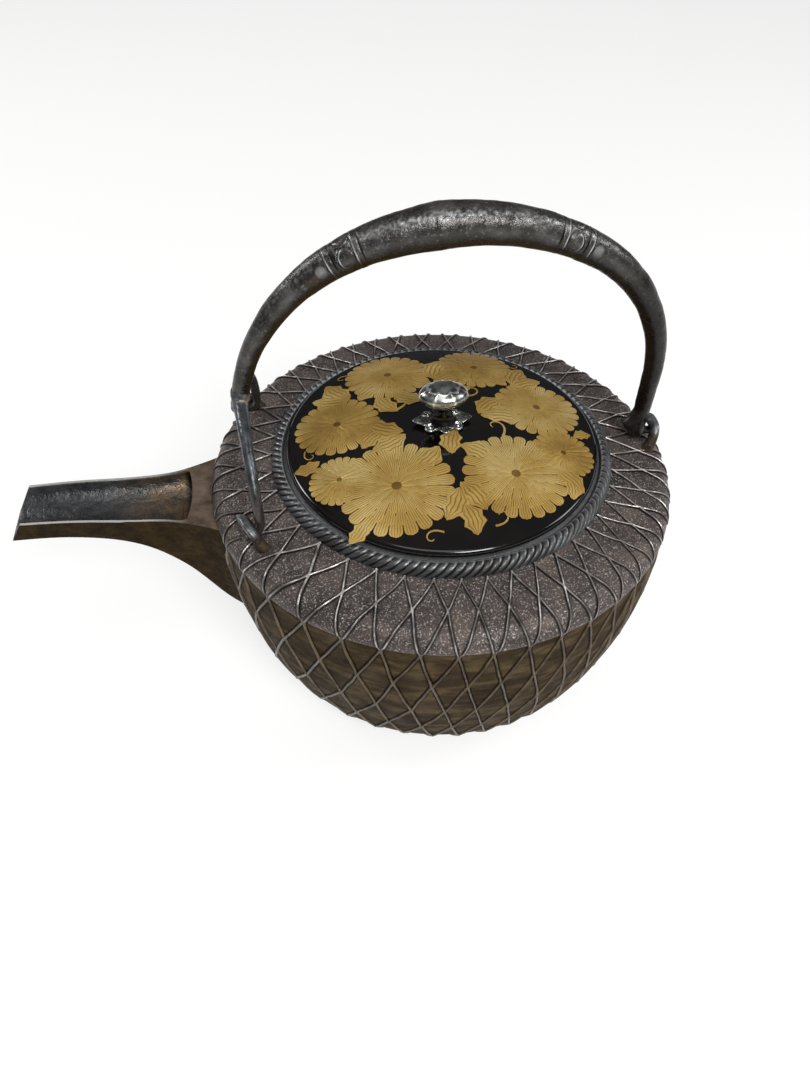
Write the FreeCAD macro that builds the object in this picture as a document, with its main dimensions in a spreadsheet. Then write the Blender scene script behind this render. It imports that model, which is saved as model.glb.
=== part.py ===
import FreeCAD, Part
import Sketcher
import math
import os
import re

# Cast-iron ewer: a net-patterned pot with an open pouring channel, a forged three-legged handle
# and a lacquered lid with a silver knob. Millimetres, +Z up, origin at the centre of the base,
# the channel pours towards -X.

doc = FreeCAD.newDocument("ewer")
sheet = doc.addObject("Spreadsheet::Sheet", "Sizes")

SIZES = [
    # Pot: bowl, shoulder and mouth
    ("base_radius", 50.0),
    ("turn_inset", 9.5),
    ("turn_height", 19.0),
    ("foot_bend_radius", 30.0),
    ("belly_bend_radius", 157.0),
    ("crease_radius", 80.0),
    ("crease_height", 80.0),
    ("crease_step", 0.7),
    ("edge_round", 6.8),
    ("shoulder_slope", 9.5),
    ("wall", 3.4),
    ("floor_thickness", 4.2),
    ("rim_radius", 55.2),
    ("rim_rise", 1.4),
    ("rim_width", 8.4),
    ("mouth_lip", 4.6),
    ("rope_offset", 1.1),
    ("rope_drop", 0.5),
    ("rope_radius", 2.2),
    # Pouring channel
    ("spout_length", 68.0),
    ("tip_rake", 6.0),
    ("tip_rise", 2.2),
    ("tip_depth", 10.0),
    ("tip_half", 9.1),
    ("keel_tip_half", 5.6),
    ("keel_root_half", 8.5),
    ("waist_length", 27.0),
    ("mid_rise", 0.6),
    ("mid_hollow", 1.5),
    ("waist_rise", 0.4),
    ("waist_half", 11.0),
    ("waist_depth", 14.9),
    ("neck_length", 13.0),
    ("neck_half", 12.4),
    ("neck_depth", 27.0),
    ("root_half", 17.0),
    ("root_depth", 46.5),
    ("spout_wall", 1.8),
    ("channel_floor", 2.6),
    ("channel_root_depth", 9.5),
    ("roof_length", 8.0),
    ("roof_thickness", 2.4),
    ("passage_half", 8.0),
    # Lugs
    ("fork_angle", 25.0),
    ("front_eye_inset", 7.1),
    ("rear_eye_inset", 5.4),
    ("eye_rise", 3.55),
    ("eye_play", 0.75),
    ("eye_half_width", 4.6),
    ("eye_thickness", 2.6),
    ("eye_root", 6.0),
    # Handle
    ("hook_radius", 1.6),
    ("hook_nose", 1.7),
    ("hook_play", 0.3),
    ("hook_gap", 0.4),
    ("finger_length", 5.0),
    ("rear_leg_inset", 4.2),
    ("rear_leg_lift", 4.95),
    ("rear_leg_straight", 16.0),
    ("rear_bend_radius", 52.0),
    ("rear_bend_angle", 58.0),
    ("crown_bend_radius", 81.0),
    ("crown_bend_angle", 53.0),
    ("front_bend_radius", 62.0),
    ("front_bend_angle", 57.0),
    ("crown_thick", 6.4),
    ("crown_shift", 14.0),
    ("rear_thick", 2.95),
    ("front_thick", 2.9),
    ("taper_power", 1.35),
    ("heel_reach", 3.9),
    ("heel_half", 2.3),
    ("heel_swell", 0.7),
    ("heel_clearance", 0.9),
    ("node_shift", 8.3),
    ("node_inner", 29.0),
    ("node_outer", 38.5),
    ("node_bead", 0.9),
    ("node_rise", 0.2),
    ("hub_height", 6.6),
    ("leg_top", 2.5),
    ("leg_foot", 1.7),
    ("tenon_radius", 1.9),
    ("tenon_length", 9.0),
    ("tenon_play", 0.15),
    ("hub_gap", 0.1),
    # Lid
    ("lid_inset", 1.6),
    ("lid_gap", 0.2),
    ("lid_edge", 1.7),
    ("lid_rise", 10.1),
    ("lid_thickness", 4.4),
    ("dome_bend_radius", 185.0),
    ("flange_play", 0.6),
    ("flange_depth", 6.0),
    ("flange_wall", 3.0),
    # Knob, its seat and its fastening
    ("seat_flat", 11.0),
    ("seat_thickness", 1.2),
    ("seat_disc", 5.6),
    ("seat_lobe", 3.4),
    ("seat_long", 6.7),
    ("seat_short", 4.2),
    ("seat_piercing", 1.1),
    ("neck_foot", 4.8),
    ("neck_step", 0.6),
    ("neck_waist", 3.3),
    ("neck_rise", 7.2),
    ("neck_cup", 4.4),
    ("knob_length", 8.5),
    ("knob_width", 6.3),
    ("knob_rise", 3.7),
    ("knob_sink", 0.6),
    ("pin_radius", 1.4),
    ("pin_grip", 9.0),
    ("pin_play", 0.1),
    ("pin_leg_length", 11.0),
    ("pin_leg_thickness", 0.9),
    ("washer_radius", 6.5),
    ("washer_thickness", 0.8),
    ("washer_margin", 1.3),
]
for row, (alias, number) in enumerate(SIZES, start=1):
    cell = "A%d" % row
    sheet.set(cell, str(number))
    sheet.setAlias(cell, alias)
doc.recompute()
ALIASES = {alias for alias, number in SIZES}


def bound(formula):
    """The same formula with each size read from the sheet."""
    words = re.split(r"([a-z_]+)", formula)
    return "".join("Sizes." + word if word in ALIASES else word for word in words)


def value(formula):
    return float(sheet.evalExpression(bound(formula)))


def body_named(name):
    body = doc.addObject("PartDesign::Body", name)
    body.Label = name
    return body


def plane_of(body, role):
    return next(item for item in body.Origin.OriginFeatures if item.Role == role)


# An arc of this many times half its chord is a half round, only just short of a half turn.
HALF_ROUND = "1.001"


def arc_between(start, end, radius):
    """Short arc from start to end; a positive radius turns left on the way, a negative one right."""
    chord = end - start
    half = chord.Length / 2
    size = abs(radius)
    left = FreeCAD.Vector(-chord.y, chord.x, 0).normalize()
    centre = start + chord * 0.5 + left * math.copysign(math.sqrt(size * size - half * half), radius)
    first, last = (start, end) if radius > 0 else (end, start)
    begin = math.atan2(first.y - centre.y, first.x - centre.x)
    finish = math.atan2(last.y - centre.y, last.x - centre.x)
    if finish < begin:
        finish += 2 * math.pi
    return Part.ArcOfCircle(Part.Circle(centre, FreeCAD.Vector(0, 0, 1), size), begin, finish)


def sketch_on(body, name, role):
    sketch = body.newObject("Sketcher::SketchObject", name)
    sketch.AttachmentSupport = (plane_of(body, role), [""])
    sketch.MapMode = "FlatFace"
    return sketch


def fix_point(sketch, geometry, end, formulas):
    """Hold one point of a sketch at a pair of formulas, on the axis where a formula is nought."""
    for kind, axis, formula in (("DistanceX", -2, formulas[0]), ("DistanceY", -1, formulas[1])):
        if formula == "0":
            sketch.addConstraint(Sketcher.Constraint("PointOnObject", geometry, end, axis))
        else:
            number = value(formula)
            index = sketch.addConstraint(Sketcher.Constraint(kind, -1, 1, geometry, end, number))
            sketch.setExpression("Constraints[%d]" % index, bound(formula))


def outline(body, name, role, corners):
    """Closed outline through corners; a third entry is the radius of the arc that leads to the next."""
    sketch = sketch_on(body, name, role)
    points = [FreeCAD.Vector(value(corner[0]), value(corner[1]), 0) for corner in corners]
    ends = []
    for index, corner in enumerate(corners):
        start, end = points[index], points[(index + 1) % len(points)]
        if len(corner) == 2:
            sketch.addGeometry(Part.LineSegment(start, end))
            ends.append((1, 2))
        else:
            radius = value(corner[2])
            sketch.addGeometry(arc_between(start, end, radius))
            ends.append((1, 2) if radius > 0 else (2, 1))
    for index, corner in enumerate(corners):
        after = (index + 1) % len(corners)
        sketch.addConstraint(Sketcher.Constraint("Coincident", index, ends[index][1], after, ends[after][0]))
    for index, corner in enumerate(corners):
        fix_point(sketch, index, ends[index][0], corner)
        if len(corner) == 3:
            held = sketch.addConstraint(Sketcher.Constraint("Radius", index, abs(value(corner[2]))))
            sketch.setExpression("Constraints[%d]" % held, bound("abs(%s)" % corner[2]))
    return sketch


def round_sketch(body, name, role, centre, radius):
    sketch = sketch_on(body, name, role)
    middle = FreeCAD.Vector(value(centre[0]), value(centre[1]), 0)
    sketch.addGeometry(Part.Circle(middle, FreeCAD.Vector(0, 0, 1), value(radius)))
    fix_point(sketch, 0, 3, centre)
    held = sketch.addConstraint(Sketcher.Constraint("Radius", 0, value(radius)))
    sketch.setExpression("Constraints[%d]" % held, bound(radius))
    return sketch


def turned(body, kind, name, sketch):
    """A full turn of a half section about the Z axis, added or cut away."""
    feature = body.newObject("PartDesign::" + kind, name)
    feature.Profile = sketch
    feature.ReferenceAxis = (sketch, ["V_Axis"])
    feature.Angle = 360
    return feature


def straight(body, kind, name, sketch, length=None, both_sides=False):
    """A pad or a pocket; with no length it goes through everything."""
    feature = body.newObject("PartDesign::" + kind, name)
    feature.Profile = sketch
    feature.SideType = "Symmetric" if both_sides else "One side"
    if length is None:
        feature.Type = "ThroughAll"
    else:
        feature.setExpression("Length", bound(length))
    return feature


def lofted(body, kind, name, sections):
    feature = body.newObject("PartDesign::" + kind, name)
    feature.Profile = sections[0]
    feature.Sections = sections[1:]
    return feature


# Pot body: one casting, turned in section, with the lugs, the channel and the passage into it.
pot = body_named("pot_body")
EDGE_X = "(crease_radius - edge_round + edge_round * sin(shoulder_slope))"
EDGE_Z = "(crease_height + crease_step + edge_round * cos(shoulder_slope))"


def shoulder_at(radius):
    """Height of the sloping shoulder at a radius."""
    return "(%s + (%s - (%s)) * tan(shoulder_slope))" % (EDGE_Z, EDGE_X, radius)


TURN_X = "(crease_radius - turn_inset)"
RIM_Z = "(%s + rim_rise)" % shoulder_at("rim_radius")
MOUTH_X = "(rim_radius - rim_width)"
outside = outline(pot, "outside_profile", "XZ_Plane", [
    ("0", "0"),
    ("base_radius", "0", "foot_bend_radius"),
    (TURN_X, "turn_height", "belly_bend_radius"),
    ("crease_radius - crease_step", "crease_height"),
    ("crease_radius", "crease_height + crease_step", "edge_round"),
    (EDGE_X, EDGE_Z),
    ("rim_radius", shoulder_at("rim_radius")),
    ("rim_radius", RIM_Z),
    ("0", RIM_Z),
])
turned(pot, "Revolution", "pot_outside", outside)

ROPE_CENTRE = ("rim_radius + rope_offset", RIM_Z + " - rope_drop")
rope = round_sketch(pot, "rope_circle", "XZ_Plane", ROPE_CENTRE, "rope_radius")
turned(pot, "Revolution", "rope_moulding", rope)

# Lugs: a round-topped plate with an eye, square to the radius, two beside the channel and one behind.
FRONT_EYE = "(crease_radius - front_eye_inset)"
REAR_EYE = "(crease_radius - rear_eye_inset)"
EYE_Z = "(%s + eye_rise)" % shoulder_at(FRONT_EYE)
EYE_HOLE = "(hook_radius + eye_play)"
LUGS = [
    ("near_lug", FRONT_EYE, "(180 + fork_angle)"),
    ("far_lug", FRONT_EYE, "(180 - fork_angle)"),
    ("rear_lug", REAR_EYE, "0"),
]


def face_radius(sketch, radius, bearing):
    """Stand a sketch of the YZ plane square to the radius at a bearing about the pot's axis."""
    upright = FreeCAD.Vector(0, 1, 0)
    sketch.AttachmentOffset = FreeCAD.Placement(FreeCAD.Vector(), FreeCAD.Rotation(upright, value(bearing)))
    sketch.setExpression("AttachmentOffset.Base.x", bound("%s * sin(%s)" % (radius, bearing)))
    sketch.setExpression("AttachmentOffset.Base.z", bound("%s * cos(%s)" % (radius, bearing)))
    sketch.setExpression("AttachmentOffset.Rotation.Angle", bound(bearing))


for lug, radius, bearing in LUGS:
    plate = outline(pot, lug + "_plate", "YZ_Plane", [
        ("-eye_half_width", EYE_Z + " - eye_root"),
        ("eye_half_width", EYE_Z + " - eye_root"),
        ("eye_half_width", EYE_Z, "eye_half_width * " + HALF_ROUND),
        ("-eye_half_width", EYE_Z),
    ])
    face_radius(plate, radius, bearing)
    straight(pot, "Pad", lug, plate, "eye_thickness", both_sides=True)

# Channel: trapezoid sections that grow into a deep keel where they run into the bowl.
TIP_Z = "(crease_height + tip_rise)"
FLARED = [
    ("tip", "crease_radius + spout_length + tip_rake", TIP_Z, "tip_half", "tip_depth", "keel_tip_half"),
    ("mid", "crease_radius + (spout_length + waist_length) / 2",
     "crease_height + (tip_rise + waist_rise) / 2 + mid_rise", "(tip_half + waist_half) / 2",
     "(tip_depth + waist_depth) / 2 - mid_hollow", "keel_tip_half"),
    ("waist", "crease_radius + waist_length", "crease_height + waist_rise", "waist_half", "waist_depth",
     "(keel_tip_half * 2 + keel_root_half) / 3"),
    ("neck", "crease_radius + neck_length", "crease_height", "neck_half", "neck_depth",
     "(keel_tip_half + keel_root_half) / 2"),
    ("root", "crease_radius", "crease_height", "root_half", "root_depth", "keel_root_half"),
    ("inside", TURN_X, "crease_height", "root_half + wall", "root_depth + 3 * wall", "keel_root_half"),
]


def trapezoid(body, name, reach, top, top_half, low, low_half):
    sketch = outline(body, name, "YZ_Plane", [
        ("-(%s)" % low_half, low),
        (low_half, low),
        (top_half, top),
        ("-(%s)" % top_half, top),
    ])
    sketch.setExpression("AttachmentOffset.Base.z", bound("-(%s)" % reach))
    return sketch


spout_sections = []
for name, reach, top, top_half, depth, low_half in FLARED:
    low = "%s - (%s)" % (top, depth)
    spout_sections.append(trapezoid(pot, "spout_" + name, reach, top, top_half, low, low_half))
lofted(pot, "AdditiveLoft", "spout", spout_sections)

# Inside of the pot, cut after the lugs and the channel so that nothing stands into it.
INNER_X = "(crease_radius - crease_step - wall)"
cavity = outline(pot, "cavity_profile", "XZ_Plane", [
    ("0", "floor_thickness"),
    ("base_radius", "floor_thickness", "foot_bend_radius - wall"),
    (TURN_X + " - wall", "turn_height + wall / 3", "belly_bend_radius - wall"),
    (INNER_X, "crease_height", "edge_round"),
    (INNER_X + " - edge_round / 2", EDGE_Z + " - wall"),
    (MOUTH_X, RIM_Z + " - mouth_lip"),
    (MOUTH_X, RIM_Z + " + wall"),
    ("0", RIM_Z + " + wall"),
])
turned(pot, "Groove", "cavity", cavity)

# Open trough of the channel, then the passage under its roofed root.
trough = []
for name, reach, top, half, low, low_half in (
        ("tip", "crease_radius + spout_length + 2 * tip_rake", TIP_Z, "tip_half - spout_wall",
         TIP_Z + " - tip_depth + channel_floor", "keel_tip_half - spout_wall"),
        ("root", "crease_radius + roof_length", "crease_height", "neck_half - spout_wall",
         "crease_height - channel_root_depth", "passage_half - spout_wall")):
    lean = "((%s) - (%s)) / ((%s) - (%s))" % (half, low_half, top, low)
    open_half = "%s + wall * %s" % (half, lean)
    trough.append(trapezoid(pot, "trough_" + name, reach, top + " + wall", open_half, low, low_half))
lofted(pot, "SubtractiveLoft", "channel", trough)

passage = []
for name, reach in (("mouth", "crease_radius + roof_length + wall"), ("bowl_end", TURN_X + " - wall")):
    passage.append(trapezoid(pot, "passage_" + name, reach, "crease_height - roof_thickness", "passage_half",
                             "crease_height - channel_root_depth", "passage_half - spout_wall"))
lofted(pot, "SubtractiveLoft", "passage", passage)

RAKE = "(tip_rake / tip_depth)"
TIP_X = "-crease_radius - spout_length"
tip_cut = outline(pot, "tip_profile", "XZ_Plane", [
    (TIP_X + " - wall * " + RAKE, TIP_Z + " - tip_depth - wall"),
    (TIP_X + " + (tip_depth + wall) * " + RAKE, TIP_Z + " + wall"),
    (TIP_X + " - 4 * tip_rake", TIP_Z + " + wall"),
    (TIP_X + " - 4 * tip_rake", TIP_Z + " - tip_depth - wall"),
])
straight(pot, "Pocket", "raked_tip", tip_cut, both_sides=True)

for lug, radius, bearing in LUGS:
    eye = round_sketch(pot, lug + "_eye_circle", "YZ_Plane", ("0", EYE_Z), EYE_HOLE)
    face_radius(eye, radius, bearing)
    straight(pot, "Pocket", lug + "_eye", eye, "2 * eye_thickness", both_sides=True)

# Handle: a bail of three tangent arcs on a straight rear leg, thickest at the crown.
BAR_Z = "(%s - %s + hook_radius + hook_play)" % (EYE_Z, EYE_HOLE)
HOOK_BEND = "(eye_thickness / 2 + hook_gap + hook_radius)"
REAR_LEG_X = "(%s - rear_leg_inset)" % REAR_EYE
REAR_LEG_Z = "(%s + %s + rear_leg_lift)" % (BAR_Z, HOOK_BEND)
ARCS = [(part + "_bend_radius", part + "_bend_angle") for part in ("rear", "crown", "front")]
REAR_LENGTH = value("rear_leg_straight")
ARC_LENGTHS = [value(radius) * math.radians(value(angle)) for radius, angle in ARCS]
BAIL_LENGTH = REAR_LENGTH + sum(ARC_LENGTHS)
BAIL_MIDDLE = REAR_LENGTH + ARC_LENGTHS[0] + ARC_LENGTHS[1] / 2
CROWN_AT = BAIL_MIDDLE + value("crown_shift")


def on_bail(distance):
    """Point of the bail's centre line and its heading, at a distance from the foot of the rear leg."""
    x, z, heading = value(REAR_LEG_X), value(REAR_LEG_Z), math.pi / 2
    run = min(distance, REAR_LENGTH)
    z += run
    left = distance - run
    for (radius, angle), length in zip(ARCS, ARC_LENGTHS):
        swing = min(left, length) / value(radius)
        x += value(radius) * (math.cos(heading + math.pi / 2) + math.cos(heading + swing - math.pi / 2))
        z += value(radius) * (math.sin(heading + math.pi / 2) + math.sin(heading + swing - math.pi / 2))
        heading += swing
        left = max(left - length, 0.0)
    return FreeCAD.Vector(x, 0, z), heading


def square_to_bail(distance):
    point, heading = on_bail(distance)
    turn = FreeCAD.Rotation(FreeCAD.Vector(0, 1, 0), 90 - math.degrees(heading))
    return FreeCAD.Placement(point, turn)


def bail_radius(distance):
    """Formula of the bail's radius at a distance along it."""
    if distance <= CROWN_AT:
        share, end = distance / CROWN_AT, "rear_thick"
    else:
        share, end = (BAIL_LENGTH - distance) / (BAIL_LENGTH - CROWN_AT), "front_thick"
    return "%s + (crown_thick - %s) * pow(%.6f; taper_power)" % (end, end, share)


def circle_object(name, radius, placement):
    circle = doc.addObject("Part::Circle", name)
    circle.setExpression("Radius", bound(radius))
    circle.Placement = placement
    return circle


def loft_object(name, sections):
    loft = doc.addObject("Part::Loft", name)
    loft.Sections = sections
    loft.Solid = True
    return loft


def fuse_object(name, shapes):
    fuse = doc.addObject("Part::MultiFuse", name)
    fuse.Shapes = shapes
    fuse.Label = name
    return fuse


BAIL_SECTIONS = 13
stations = [BAIL_LENGTH * index / (BAIL_SECTIONS - 1) for index in range(BAIL_SECTIONS)]
bail_rings = []
for index, distance in enumerate(stations):
    bail_rings.append(circle_object("bail_ring_%d" % index, bail_radius(distance), square_to_bail(distance)))
bail_arch = loft_object("bail_arch", bail_rings)

node_beads = []
for index, offset in enumerate(("-node_outer", "-node_inner", "node_inner", "node_outer")):
    distance = BAIL_MIDDLE + value("node_shift") + value(offset)
    bead = doc.addObject("Part::Torus", "node_bead_%d" % index)
    bead.setExpression("Radius1", bound(bail_radius(distance) + " + node_rise - node_bead"))
    bead.setExpression("Radius2", bound("node_bead"))
    bead.Placement = square_to_bail(distance)
    node_beads.append(bead)

# Heel of the rear leg: it swells inwards and stands just clear of the shoulder, inside the rear lug.
HEEL_Z = "(%s + heel_clearance)" % shoulder_at(REAR_LEG_X)
HEEL_OUTER = "(%s - eye_thickness / 2 - hook_play)" % REAR_EYE
heel_top = FreeCAD.Vector(value(REAR_LEG_X), 0, value(REAR_LEG_Z + " + rear_leg_straight / 2"))
heel_sections = [circle_object("heel_top", "rear_thick", FreeCAD.Placement(heel_top, FreeCAD.Rotation()))]
ANKLE_Z = "%s * heel_swell + %s * (1 - heel_swell)" % (REAR_LEG_Z, HEEL_Z)
HEEL_OVALS = [
    ("heel_ankle", ANKLE_Z, "(heel_reach + rear_thick) / 2"),
    ("heel_sole", HEEL_Z, "heel_reach"),
]
for name, level, length in HEEL_OVALS:
    oval = doc.addObject("Part::Ellipse", name)
    oval.setExpression("MajorRadius", bound(length))
    oval.setExpression("MinorRadius", bound("heel_half"))
    height = value(level)
    middle = value("%s - (%s)" % (HEEL_OUTER, length))
    oval.Placement = FreeCAD.Placement(FreeCAD.Vector(middle, 0, height), FreeCAD.Rotation())
    heel_sections.append(oval)
heel = loft_object("rear_heel", heel_sections)


def hook_parts(name, eye_radius, bearing, top):
    """Hook of a leg: down inside its lug, out through the eye and up again as a short finger."""
    toward = FreeCAD.Vector(math.cos(math.radians(bearing)), math.sin(math.radians(bearing)), 0)
    up = FreeCAD.Vector(0, 0, 1)
    inner = toward * value("%s - %s" % (eye_radius, HOOK_BEND))
    outer = toward * value("%s + %s" % (eye_radius, HOOK_BEND))
    middle = toward * value(eye_radius)
    bend_z = value("%s + %s" % (BAR_Z, HOOK_BEND))
    tip = outer + up * (bend_z + value("finger_length"))
    line = Part.Wire([
        Part.LineSegment(inner + up * top, inner + up * bend_z).toShape(),
        Part.Arc(inner + up * bend_z, middle + up * value(BAR_Z), outer + up * bend_z).toShape(),
        Part.LineSegment(outer + up * bend_z, tip).toShape(),
    ])
    spine = doc.addObject("Part::Feature", name + "_line")
    spine.Shape = line
    start = FreeCAD.Placement(inner + up * top, FreeCAD.Rotation())
    section = circle_object(name + "_section", "hook_radius", start)
    bar = doc.addObject("Part::Sweep", name + "_bar")
    bar.Sections = [section]
    bar.Spine = (spine, ["Edge1", "Edge2", "Edge3"])
    bar.Solid = True
    nose = doc.addObject("Part::Sphere", name + "_nose")
    nose.setExpression("Radius", bound("hook_nose"))
    nose.Placement = FreeCAD.Placement(tip, FreeCAD.Rotation())
    return [bar, nose]


rear_hook = hook_parts("rear_hook", REAR_EYE, 0.0, value(REAR_LEG_Z))
bail_solid = fuse_object("bail_solid", [bail_arch, heel] + node_beads + rear_hook)

# Socket in the front end of the bail for the tenon of the yoke.
FRONT_END = square_to_bail(BAIL_LENGTH)
socket = doc.addObject("Part::Cylinder", "tenon_socket")
socket.setExpression("Radius", bound("tenon_radius + tenon_play"))
socket.setExpression("Height", bound("tenon_length + tenon_play"))
socket.Placement = FRONT_END.multiply(FreeCAD.Placement(
    FreeCAD.Vector(0, 0, -value("tenon_length + tenon_play")), FreeCAD.Rotation()))
handle_bail = doc.addObject("Part::Cut", "handle_bail")
handle_bail.Base = bail_solid
handle_bail.Tool = socket
handle_bail.Label = "handle_bail"

# Front yoke: a hub on the end of the bail, and two legs that arch down to the front lugs.
hub = doc.addObject("Part::Cylinder", "yoke_hub")
hub.setExpression("Radius", bound("front_thick"))
hub.setExpression("Height", bound("hub_height"))
hub.Placement = FRONT_END.multiply(FreeCAD.Placement(
    FreeCAD.Vector(0, 0, value("hub_gap")), FreeCAD.Rotation()))
tenon = doc.addObject("Part::Cylinder", "yoke_tenon")
tenon.setExpression("Radius", bound("tenon_radius"))
tenon.setExpression("Height", bound("tenon_length + hub_height / 2"))
tenon.Placement = FRONT_END.multiply(FreeCAD.Placement(
    FreeCAD.Vector(0, 0, -value("tenon_length")), FreeCAD.Rotation()))
crotch = FRONT_END.multVec(FreeCAD.Vector(0, 0, value("hub_height / 2")))

LEG_SECTIONS = 6
yoke_parts = [hub, tenon]
for side, sign in (("near", -1), ("far", 1)):
    bearing = 180 - sign * value("fork_angle")
    across = math.radians(bearing)
    reach = value("%s - %s" % (FRONT_EYE, HOOK_BEND))
    foot_z = value("%s + %s + hook_radius" % (BAR_Z, HOOK_BEND))
    foot = FreeCAD.Vector(reach * math.cos(across), reach * math.sin(across), foot_z)
    inward = FreeCAD.Vector(crotch.x - foot.x, crotch.y - foot.y, 0)
    span = inward.Length
    inward.normalize()
    rise = crotch.z - foot_z
    normal = inward.cross(FreeCAD.Vector(0, 0, 1))
    leg_rings = []
    for index in range(LEG_SECTIONS):
        share = index / (LEG_SECTIONS - 1)
        angle = share * math.pi / 2
        point = foot + inward * (span * (1 - math.cos(angle))) + FreeCAD.Vector(0, 0, rise * math.sin(angle))
        heading = inward * (span * math.sin(angle)) + FreeCAD.Vector(0, 0, rise * math.cos(angle))
        turn = FreeCAD.Rotation(normal.cross(heading), normal, heading, "ZYX")
        thick = "leg_foot + (leg_top - leg_foot) * %.6f" % (share * share)
        leg_rings.append(circle_object("%s_leg_%d" % (side, index), thick, FreeCAD.Placement(point, turn)))
    yoke_parts.append(loft_object(side + "_leg", leg_rings))
    yoke_parts += hook_parts(side + "_hook", FRONT_EYE, bearing, foot_z + value("hook_radius"))
front_yoke = fuse_object("front_yoke", yoke_parts)

# Lid: a thin turned dome with a rounded edge, a flange that drops into the mouth and a hole for the pin.
lid = body_named("lid")
LID_REST = "(%s + lid_gap)" % RIM_Z
LID_TOP = "(%s + lid_rise)" % RIM_Z
LID_UNDER = "(%s - lid_thickness)" % LID_TOP
FLANGE_X = "(%s - flange_play)" % MOUTH_X
FLANGE_Z = "(%s - flange_depth)" % RIM_Z
EDGE_CENTRE = "(rim_radius - lid_inset - lid_edge)"
lid_section = outline(lid, "lid_profile", "XZ_Plane", [
    ("pin_radius + pin_play", LID_UNDER),
    ("washer_radius + washer_margin", LID_UNDER, "-dome_bend_radius"),
    (FLANGE_X + " - flange_wall", LID_REST),
    (FLANGE_X + " - flange_wall", FLANGE_Z),
    (FLANGE_X, FLANGE_Z),
    (FLANGE_X, LID_REST),
    (EDGE_CENTRE, LID_REST, "lid_edge * " + HALF_ROUND),
    (EDGE_CENTRE, LID_REST + " + 2 * lid_edge", "dome_bend_radius"),
    ("seat_flat", LID_TOP),
    ("pin_radius + pin_play", LID_TOP),
])
turned(lid, "Revolution", "lid_dome", lid_section)

# Knob seat: a pierced plate of four lobes, longer along X than across.
seat = body_named("knob_seat")
plate = round_sketch(seat, "seat_disc_circle", "XY_Plane", ("0", "0"), "seat_disc")
plate.setExpression("AttachmentOffset.Base.z", bound(LID_TOP))
straight(seat, "Pad", "seat_plate", plate, "seat_thickness")
LOBES = [
    ("left", "-seat_long", "0"),
    ("right", "seat_long", "0"),
    ("near", "0", "-seat_short"),
    ("far", "0", "seat_short"),
]
for name, x, y in LOBES:
    lobe = round_sketch(seat, name + "_lobe_circle", "XY_Plane", (x, y), "seat_lobe")
    lobe.setExpression("AttachmentOffset.Base.z", bound(LID_TOP))
    straight(seat, "Pad", name + "_lobe", lobe, "seat_thickness")
for name, x, y in LOBES[:2]:
    pierced = round_sketch(seat, name + "_piercing_circle", "XY_Plane", (x, y), "seat_piercing")
    pierced.setExpression("AttachmentOffset.Base.z", bound(LID_TOP))
    straight(seat, "Pocket", name + "_piercing", pierced, both_sides=True)
bore = round_sketch(seat, "seat_bore_circle", "XY_Plane", ("0", "0"), "pin_radius + pin_play")
straight(seat, "Pocket", "seat_bore", bore, both_sides=True)

# Knob: a flattened oblong bead on a waisted neck, bored from below for the pin.
knob = body_named("knob")
SEAT_TOP = "(%s + seat_thickness)" % LID_TOP
neck = outline(knob, "neck_profile", "XZ_Plane", [
    ("0", SEAT_TOP),
    ("neck_foot", SEAT_TOP),
    ("neck_foot", SEAT_TOP + " + neck_step"),
    ("neck_waist", SEAT_TOP + " + neck_rise / 2"),
    ("neck_cup", SEAT_TOP + " + neck_rise"),
    ("neck_cup", SEAT_TOP + " + neck_rise + knob_rise"),
    ("0", SEAT_TOP + " + neck_rise + knob_rise"),
])
turned(knob, "Revolution", "knob_neck", neck)
bead = knob.newObject("PartDesign::AdditiveEllipsoid", "knob_bead")
bead.AttachmentSupport = (plane_of(knob, "XY_Plane"), [""])
bead.MapMode = "FlatFace"
bead.setExpression("Radius1", bound("knob_rise"))
bead.setExpression("Radius2", bound("knob_length"))
bead.setExpression("Radius3", bound("knob_width"))
bead.setExpression("AttachmentOffset.Base.z", bound(SEAT_TOP + " + neck_rise + knob_rise - knob_sink"))
pin_bore = outline(knob, "pin_bore_profile", "XZ_Plane", [
    ("0", SEAT_TOP),
    ("pin_radius + pin_play", SEAT_TOP),
    ("pin_radius + pin_play", SEAT_TOP + " + pin_grip + pin_play"),
    ("0", SEAT_TOP + " + pin_grip + pin_play"),
])
turned(knob, "Groove", "pin_bore", pin_bore)

# Washer under the lid, and the split pin that clamps knob, seat and washer to it.
washer = body_named("lid_washer")
ring = outline(washer, "washer_profile", "XZ_Plane", [
    ("pin_radius + pin_play", LID_UNDER + " - washer_thickness"),
    ("washer_radius", LID_UNDER + " - washer_thickness"),
    ("washer_radius", LID_UNDER),
    ("pin_radius + pin_play", LID_UNDER),
])
turned(washer, "Revolution", "washer_ring", ring)

pin = body_named("knob_split_pin")
PIN_LOW = "(%s - washer_thickness - pin_leg_thickness)" % LID_UNDER
shank = round_sketch(pin, "shank_circle", "XY_Plane", ("0", "0"), "pin_radius")
shank.setExpression("AttachmentOffset.Base.z", bound(PIN_LOW))
straight(pin, "Pad", "pin_shank", shank,
         "lid_thickness + washer_thickness + pin_leg_thickness + seat_thickness + pin_grip")
legs = outline(pin, "pin_legs_outline", "XY_Plane", [
    ("-pin_leg_length", "-pin_radius"),
    ("pin_leg_length", "-pin_radius"),
    ("pin_leg_length", "pin_radius"),
    ("-pin_leg_length", "pin_radius"),
])
legs.setExpression("AttachmentOffset.Base.z", bound(PIN_LOW))
straight(pin, "Pad", "pin_legs", legs, "pin_leg_thickness")

doc.recompute()

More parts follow.
